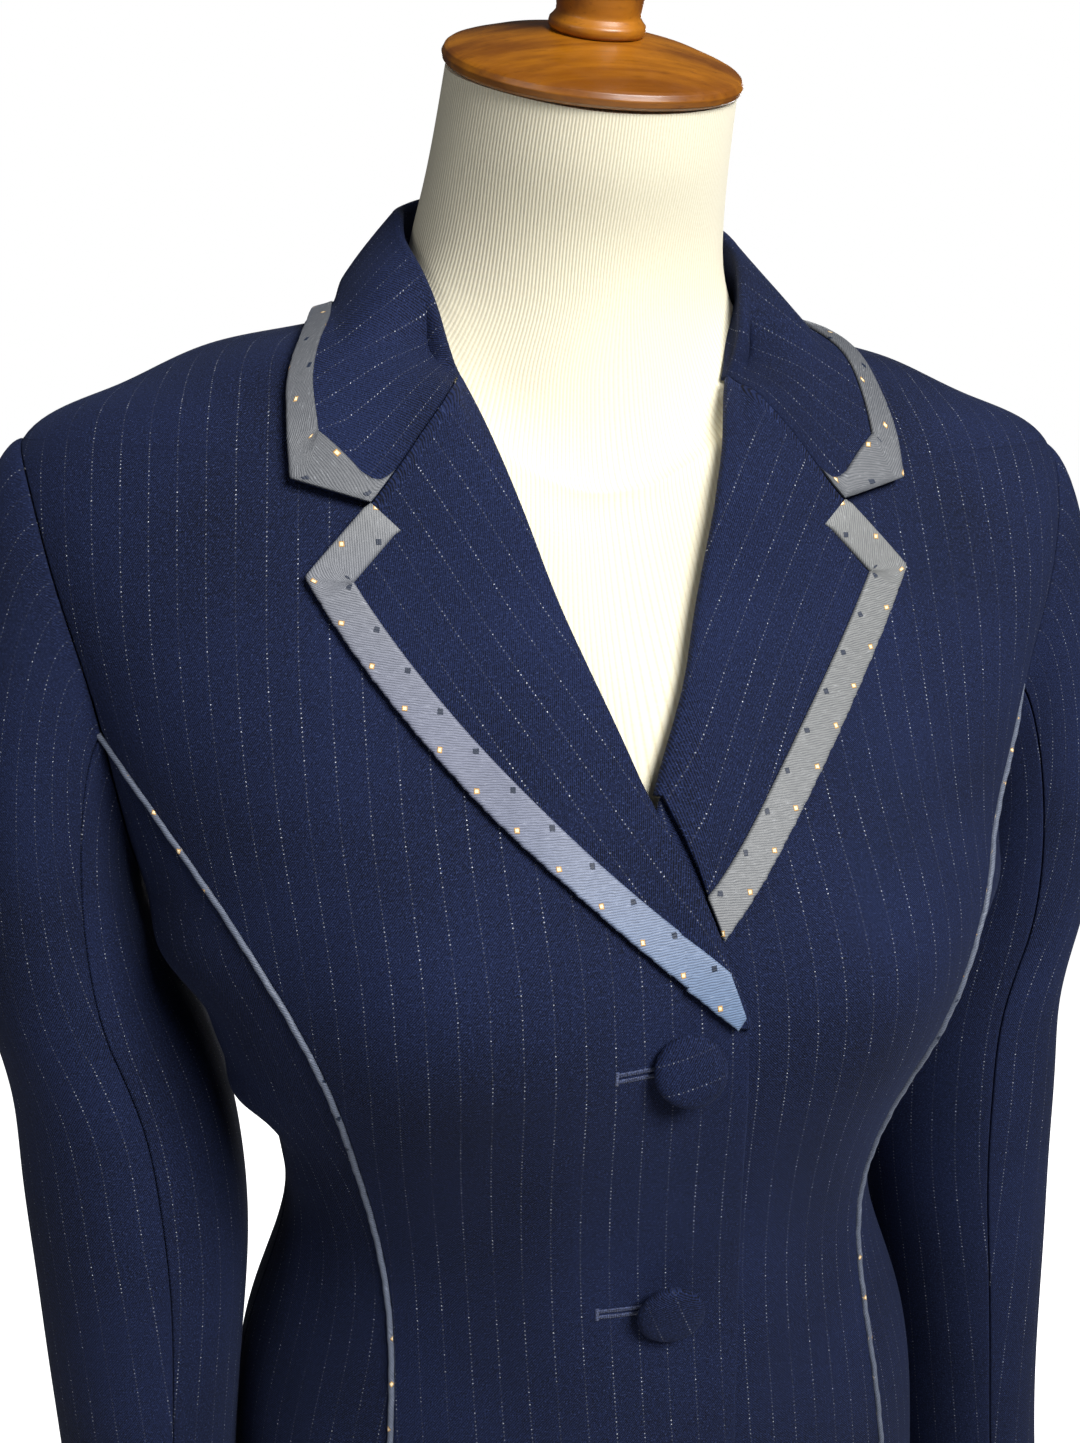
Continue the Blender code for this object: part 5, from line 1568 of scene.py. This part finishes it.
@dataclass
class Tube:
    """A closed tube through rings of points."""

    name: str
    rings: Array
    uv: Array
    finish: object
    slot: str
    tone: Array | None = None

    def build(self, replaces: str | None = None) -> bpy.types.Object:
        """Make the object, with its first and last ring filled."""
        closed = np.concatenate([self.rings, self.rings[:, :1]], axis=1)
        bm, _, _ = sheet_grid(SETTLING.at(closed))
        bmesh.ops.remove_doubles(bm, verts=bm.verts[:], dist=1e-6)
        bmesh.ops.holes_fill(bm, edges=[edge for edge in bm.edges if edge.is_boundary], sides=0)
        bmesh.ops.recalc_face_normals(bm, faces=bm.faces[:])
        piece = to_object(self.name, bm, self.finish)
        lay_map(piece.data, self.uv, self.tone)
        return assign(piece, replaces)


@dataclass
class Turned:
    """A turned piece: a profile spun about its own Z axis."""

    name: str
    profile: tuple[tuple[float, float], ...]
    top: float
    bottom: float
    finish: object
    slot: str
    steps: int = 96
    stripes: float = 0.0               # slope of the stripes on a covered button
    first_stripe: float = 0.0058       # how far its middle is from a stripe

    def fine_profile(self) -> list[tuple[float, float]]:
        """The profile with points between, on a smooth curve."""
        radius, height = (np.array(values) for values in zip(*self.profile))
        along = run_length(np.stack([radius, height], axis=1), 0)
        places = np.unique(np.concatenate([np.linspace(0, along[-1], 60), along]))
        return list(zip(np.interp(places, along, radius), np.interp(places, along, height)))

    def build(self, place: Matrix, replaces: str | None = None) -> bpy.types.Object:
        """Make the object at a place.

        Args:
            place: Where its own axes go.
            replaces: The node it stands for.

        Returns:
            The piece.
        """
        bm = bmesh.new()
        uv = bm.loops.layers.uv.new("cloth")
        points = [(0, self.bottom), *self.fine_profile(), (0, self.top)]
        verts = [bm.verts.new((radius, 0, height)) for radius, height in points]
        edges = [bm.edges.new(pair) for pair in zip(verts, verts[1:])]
        bmesh.ops.spin(bm, geom=verts + edges, axis=(0, 0, 1), cent=(0, 0, 0), angle=2 * math.pi,
                       steps=self.steps, use_merge=True)
        bmesh.ops.remove_doubles(bm, verts=bm.verts[:], dist=JOINED)
        bmesh.ops.recalc_face_normals(bm, faces=bm.faces[:])
        c, s = math.cos(self.stripes), math.sin(self.stripes)
        for face in bm.faces:
            for loop in face.loops:
                x, y = loop.vert.co.x, loop.vert.co.y
                loop[uv].uv = (self.first_stripe + x * s - y * c, x * c + y * s)
        bm.transform(place)
        for vert, settled in zip(bm.verts, SETTLING.at(np.array([vert.co for vert in bm.verts]))):
            vert.co = settled
        return assign(to_object(self.name, bm, self.finish), replaces)


def piping(side: Side) -> Tube:
    """The silk cord in a princess seam, from the hem to the armhole."""
    radius = 0.0011
    level = np.linspace(FIGURE.level_of("hem") + 0.0006, FIGURE.princess_level - 0.004, 420)
    angle = FIGURE.angle_at_line(level, FIGURE.princess_x)
    waver = 0.00012 * np.sin(level * 410) + 0.00008 * np.sin(level * 980 + 1)
    centre = FIGURE.skin(angle, level, CLOTH + 0.0004 + waver)
    normal = FIGURE.normal(angle, level)
    across = unit(np.cross(normal, np.gradient(centre, axis=0)))
    turn = np.linspace(0, 2 * math.pi, 16, endpoint=False)[None, :, None]
    ring = np.cos(turn) * across[:, None] + np.sin(turn) * normal[:, None]
    rings = centre[:, None] + radius * ring
    around = np.linspace(0, 2 * math.pi, 17) * radius
    along = run_length(centre, 0)
    along, around = np.broadcast_arrays(along[:, None], around[None, :])
    uv = on_bias(along, around, math.radians(41))
    # tone, the painted sheen, kept greyer on the cord
    tone = np.clip(shot_sheen_at(np.concatenate([rings, rings[:, :1]], axis=1)), 0, 0.5)
    if side is Side.RIGHT:
        rings, uv, tone = rings[:, ::-1] * MIRROR, uv[:, ::-1], tone[:, ::-1]
    # the band silk in darker, greyer colours: painted shade on the cord
    silk = ShotSilk("piping_silk_shaded", grey="#6A707A", lilac="#6C7486", blue="#7888A0", rib_shade="#1E222C")
    return Tube(f"piping_{side.value}", rings, uv, silk, "silk_trim", tone)


@dataclass(frozen=True)
class Buttons:
    """Covered buttons on the centre front and the worked buttonholes they sit in."""

    heights: tuple[float, ...] = (0.1034, 0.0056, -0.0962)
    tilt: tuple[float, ...] = (math.radians(-13), math.radians(11), math.radians(-3))
    yaw: tuple[float, ...] = (math.radians(-9), math.radians(-6), 0.0)
    stripes: tuple[float, ...] = (math.radians(15), math.radians(112), math.radians(15))
    lift: tuple[float, ...] = (0.0018, 0.0012, 0.0004)     # the thread shank lets a tilted button stand off
    profile: tuple[tuple[float, float], ...] = (
        (0.0030, 0.0000), (0.0030, 0.0016), (0.0100, 0.0016), (0.0110, 0.0019), (0.0117, 0.0026), (0.0120, 0.0036),
        (0.0118, 0.0044), (0.0112, 0.0051), (0.0104, 0.0057), (0.0093, 0.0062), (0.0075, 0.0067), (0.0055, 0.0070),
        (0.0028, 0.0072),
    )
    top: float = 0.0073
    hole_reach: float = 0.0240         # from the centre front to the closed end of a buttonhole
    hole_start: float = 0.0050
    hole_below: float = 0.0008         # a buttonhole lies this far below its button's middle
    row_width: float = 0.0014
    row_gap: float = 0.0009
    stitch: float = 0.00062

    def seat(self, number: int) -> Matrix:
        """Where a button sits."""
        angle, level = FIGURE.locate(np.array(0.0), np.array(self.heights[number]))
        place = Vector(FIGURE.skin(angle, level, np.array(OVERLAP + CLOTH + 3 * GAP + self.lift[number])))
        normal = Vector(FIGURE.normal(angle, level))
        rest = Vector((0, 0, 1)).rotation_difference(normal).to_matrix()
        tip = Matrix.Rotation(self.tilt[number], 3, "X") @ Matrix.Rotation(self.yaw[number], 3, "Z")
        return Matrix.Translation(place) @ (tip @ rest).to_4x4()

    def button(self, number: int) -> bpy.types.Object:
        """One covered button."""
        made = Turned(f"button_{number + 1}", self.profile, self.top, 0.0, Suiting(), "suiting", 72,
                      self.stripes[number])
        return made.build(self.seat(number), f"button_{number + 1}")

    def ridge(self, name: str, start: tuple[float, float], end: tuple[float, float]) -> bpy.types.Object:
        """One row of buttonhole stitches, laid on the wearer's right front.

        Args:
            name: The piece's name.
            start: x and height of the middle of one end.
            end: The same of the other end.

        Returns:
            The piece.
        """
        start, end = np.array(start), np.array(end)
        length = float(np.linalg.norm(end - start))
        ahead = (end - start) / length
        side = np.array([-ahead[1], ahead[0]])
        stitches = round(length / self.stitch)
        s = np.linspace(0, 1, stitches * 6 + 1)
        share = np.linspace(-1, 1, 9)
        flat = start + (end - start) * s[:, None, None] + side * (share * self.row_width / 2)[None, :, None]
        thread = np.abs(np.sin(math.pi * stitches * s))[:, None] ** 0.7
        dome = np.sqrt(np.maximum(0, 1 - share ** 2))[None, :]
        angle, level = FIGURE.locate(flat[..., 0], flat[..., 1])
        base = OVERLAP + CLOTH - 0.0002
        relief = 0.00025 + 0.00055 * dome * (0.35 + 0.65 * thread)
        faces = [FIGURE.skin(angle, level, base + extra)[:, ::-1] for extra in (np.zeros(angle.shape), relief)]
        return Cloth(name, *faces, flat, Twist(), "suiting", Edges(turn=0.0001, depth=0.3)).build()

    def buttonhole(self, number: int) -> list[bpy.types.Object]:
        """Two rows of stitches and the bar at the closed end."""
        height, title = self.heights[number] - self.hole_below, f"buttonhole_{number + 1}"
        offset = (self.row_width + self.row_gap) / 2
        left, right = -self.hole_reach, -self.hole_start
        bar_x, bar = left - GAP, offset * 2.1
        return [
            self.ridge(f"{title}_upper", (left, height + offset), (right, height + offset)),
            self.ridge(f"{title}_lower", (left, height - offset), (right, height - offset)),
            self.ridge(f"{title}_bar", (bar_x, height - bar), (bar_x, height + bar)),
        ]


@dataclass(frozen=True)
class DressForm:
    """The limbless form with its turned cap and knob, steel pole and round base."""

    cap_profile: tuple[tuple[float, float], ...] = (
        (0.0490, 0.0000), (0.0500, 0.0004), (0.0510, 0.0014), (0.0514, 0.0032), (0.0505, 0.0050), (0.0495, 0.0057),
        (0.0470, 0.0066), (0.0380, 0.0092), (0.0180, 0.0130),
    )
    cap_height: float = 0.0130
    knob_profile: tuple[tuple[float, float], ...] = (
        (0.0155, 0.0000), (0.0163, 0.0008), (0.0165, 0.0020), (0.0162, 0.0033), (0.0153, 0.0042), (0.0143, 0.0055),
        (0.0143, 0.0070), (0.0150, 0.0120), (0.0166, 0.0162), (0.0185, 0.0200), (0.0204, 0.0245), (0.0218, 0.0290),
        (0.0225, 0.0330), (0.0225, 0.0370), (0.0217, 0.0420), (0.0200, 0.0460), (0.0173, 0.0500), (0.0140, 0.0525),
        (0.0080, 0.0540),
    )
    knob_top: float = 0.0545
    base_profile: tuple[tuple[float, float], ...] = (
        (0.1900, 0.0000), (0.1925, 0.0010), (0.1940, 0.0030), (0.1950, 0.0080), (0.1945, 0.0115), (0.1930, 0.0140),
        (0.1900, 0.0165), (0.1850, 0.0180), (0.1500, 0.0200), (0.0600, 0.0230), (0.0420, 0.0252), (0.0330, 0.0290),
        (0.0290, 0.0340), (0.0270, 0.0400), (0.0250, 0.0600),
    )
    pole_radius: float = 0.0150
    least_ease: float = 0.0010
    neck_radius: float = 0.0505
    throat_height: float = 0.300
    throat_reach: float = 0.022
    throat_width: float = 0.028
    throat_depth: float = 0.008
    soft_from: tuple[float, float] = (0.590, 0.650)    # levels between which the padding grows soft
    soft_to: tuple[float, float] = (0.745, 0.800)      # and firm again

    @property
    def lean(self) -> Matrix:
        """How far the neck leans forward."""
        top = FIGURE.rings[-1]
        return Matrix.Rotation(math.atan2(top.back_height - top.front_height, top.back_y - top.front_y), 4, "X")

    def throat(self, points: Array) -> Array:
        """The padding that fills the hollow at the foot of the throat."""
        above = (points[..., 2] - WAIST - self.throat_height) / self.throat_reach
        beside = points[..., 0] / self.throat_width
        push = self.throat_depth * np.exp(-above ** 2 - beside ** 2) * (points[..., 1] < 0)
        return np.stack([push * 0, -push, push * 0], axis=-1)

    def torso(self) -> Tube:
        """The padded torso under its jersey."""
        level = np.linspace(0, FIGURE.levels[-1], 240)[:, None]
        angle = np.linspace(-math.pi, math.pi, 192, endpoint=False)[None, :]
        side, middle = FIGURE.read("ease", level), FIGURE.read("front_ease", level)
        ease = side + (middle - side) * np.cos(angle) ** 2
        ease = np.where(level < FIGURE.level_of("neckline"), np.maximum(ease, self.least_ease), ease)
        rings = FIGURE.skin(angle, np.broadcast_to(level, ease.shape), -ease)
        free = ramp(level, *self.soft_from) * (1 - ramp(level, *self.soft_to)) * ramp(np.cos(angle), 0.0, 0.5)
        rings = relax(rings + self.throat(rings), free, 90)
        rings[0, :, 2] = WAIST + FIGURE.rings[0].height
        around = np.linspace(-math.pi, math.pi, 193) * self.neck_radius     # so the ribs are true at the neck
        up = run_length(rings[:, :1], 0)
        uv = np.stack(np.broadcast_arrays(around[None, :], up), axis=-1)
        return Tube("form_torso", rings, uv, RibJersey(), "form_jersey")

    def wood_and_steel(self) -> list[bpy.types.Object]:
        """The cap, the knob, the base and the pole."""
        top = FIGURE.rings[-1]
        foot = Vector((0, top.side_y, top.height + WAIST))
        axis = self.lean.to_3x3() @ Vector((0, 0, 1))
        wood = VarnishedBeech()
        cap = Turned("neck_cap", self.cap_profile, self.cap_height, 0.0, wood, "wood", 128)
        knob = Turned("neck_knob", self.knob_profile, self.knob_top, 0.0, wood, "wood", 96)
        base = Turned("stand_base", self.base_profile, 0.0600, 0.0, wood, "wood", 160)
        low, high = self.base_profile[-1][1] + GAP, WAIST + FIGURE.rings[0].height - GAP
        ends_of_pole = ((self.pole_radius, low), (self.pole_radius, high))
        pole = Turned("stand_pole", ends_of_pole, high, low, BrushedSteel(), "steel", 64)
        return [
            cap.build(Matrix.Translation(foot + axis * 3 * GAP) @ self.lean, "neck_cap"),
            knob.build(Matrix.Translation(foot + axis * (self.cap_height + 4 * GAP)) @ self.lean, "neck_knob"),
            base.build(Matrix.Identity(4), "stand_base"),
            pole.build(Matrix.Identity(4), "stand_pole"),
        ]


# -------------------------------- the studio


@dataclass(frozen=True)
class Studio:
    """The camera as the photograph was taken, a soft light and a white floor."""

    place: tuple[float, float, float] = (-0.1511, -0.5374, 1.3581)
    azimuth: float = -0.254
    pitch: float = 0.2109
    roll: float = -0.015
    focal: float = 1425.4              # in pixels of a picture 1443 high
    picture: int = 1443
    sensor: float = 36.0
    aim: tuple[float, float, float] = (0.0, 0.0, 1.22)     # the lamps look at the chest

    def camera(self) -> None:
        """Add the camera."""
        data = bpy.data.cameras.new("photo")
        data.sensor_fit = "VERTICAL"
        data.sensor_height = self.sensor
        data.lens = self.focal * self.sensor / self.picture
        data.clip_start = 0.01
        flat = math.cos(self.pitch)
        ahead = Vector((-math.sin(self.azimuth) * flat, math.cos(self.azimuth) * flat, -math.sin(self.pitch)))
        level = Vector((math.cos(self.azimuth), math.sin(self.azimuth), 0))
        over = level.cross(ahead)
        c, s = math.cos(self.roll), math.sin(self.roll)
        right, up = level * c + over * s, over * c - level * s
        turn = Matrix(((right.x, up.x, -ahead.x), (right.y, up.y, -ahead.y), (right.z, up.z, -ahead.z)))
        camera = bpy.data.objects.new("photo", data)
        camera.matrix_world = Matrix.Translation(self.place) @ turn.to_4x4()
        bpy.context.scene.collection.objects.link(camera)
        bpy.context.scene.camera = camera

    def lamp(self, name: str, place: tuple[float, ...], size: tuple[float, float], power: float) -> None:
        """Add a soft lamp that looks at the chest."""
        data = bpy.data.lights.new(name, "AREA")
        data.shape = "RECTANGLE"
        data.size, data.size_y = size
        data.energy = power
        lamp = bpy.data.objects.new(name, data)
        aim = Vector(self.aim) - Vector(place)
        lamp.matrix_world = Matrix.Translation(place) @ aim.to_track_quat("-Z", "Y").to_matrix().to_4x4()
        bpy.context.scene.collection.objects.link(lamp)

    def floor(self) -> None:
        """Add the paper floor."""
        bm = bmesh.new()
        place = Matrix.Translation((0, 4.0, -0.0005))
        bmesh.ops.create_grid(bm, x_segments=1, y_segments=1, size=7.0, matrix=place)
        mesh = bpy.data.meshes.new("floor")
        bm.to_mesh(mesh)
        bm.free()
        mesh.materials.append(material_of(StudioWhite()))
        floor = bpy.data.objects.new("floor", mesh)
        bpy.context.scene.collection.objects.link(floor)

    def world(self) -> None:
        """White behind for the camera, dim all round for the cloth."""
        world = bpy.data.worlds.new("studio")
        bpy.context.scene.world = world
        world.use_nodes = True
        tree = world.node_tree
        tree.nodes.clear()
        path = node(tree, "ShaderNodeLightPath")
        dim = node(tree, "ShaderNodeBackground", {"Color": (0.85, 0.90, 1.0, 1), "Strength": 0.05})
        white = node(tree, "ShaderNodeBackground", {"Color": (1, 1, 1, 1), "Strength": 1.0})
        seen = path.outputs["Is Camera Ray"]
        both = node(tree, "ShaderNodeMixShader", {0: seen, 1: dim.outputs[0], 2: white.outputs[0]})
        node(tree, "ShaderNodeOutputWorld", {"Surface": both.outputs[0]})

    def build(self) -> None:
        """Set the whole studio."""
        self.camera()
        self.floor()
        self.world()
        self.lamp("key", (0.42, -1.15, 2.05), (0.7, 0.5), 30)
        self.lamp("back", (0.9, 2.4, 1.5), (1.4, 1.4), 34)
        self.lamp("fill", (-1.7, -1.1, 2.1), (1.0, 1.0), 6)
        bpy.context.scene.view_settings.view_transform = "Standard"


# -------------------------------- all together


@dataclass
class Jacket:
    """The jacket on its form."""

    body: Body = field(default_factory=Body)
    sleeve: Sleeve = field(default_factory=Sleeve)
    lapel: Lapel = field(default_factory=Lapel)
    buttons: Buttons = field(default_factory=Buttons)
    form: DressForm = field(default_factory=DressForm)

    def hang(self, cloth: Cloth) -> None:
        """Build a piece in the place of the node of its name."""
        cloth.build(cloth.name)

    def build(self) -> None:
        """Every piece."""
        self.form.torso().build("form_torso")
        self.form.wood_and_steel()
        for side in Side:
            self.hang(self.body.front(side))
            self.hang(self.body.side_front(side))
            self.hang(self.body.back(side))
            self.hang(self.sleeve.piece("upper", side))
            self.hang(self.sleeve.piece("under", side))
            self.hang(self.lapel.piece(side))
            self.hang(LapelBand(self.lapel).piece(side))
            piping(side).build(f"piping_{side.value}")
        collar = Collar(self.lapel)
        self.hang(collar.piece())
        self.hang(collar.band())
        for number in range(3):
            self.buttons.button(number)
            self.buttons.buttonhole(number)


def main() -> None:
    """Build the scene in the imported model's frame."""
    logging.basicConfig(level=logging.INFO, format="%(name)s: %(message)s")
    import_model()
    Jacket().build()
    Studio().build()


if __name__ == "__main__":
    main()
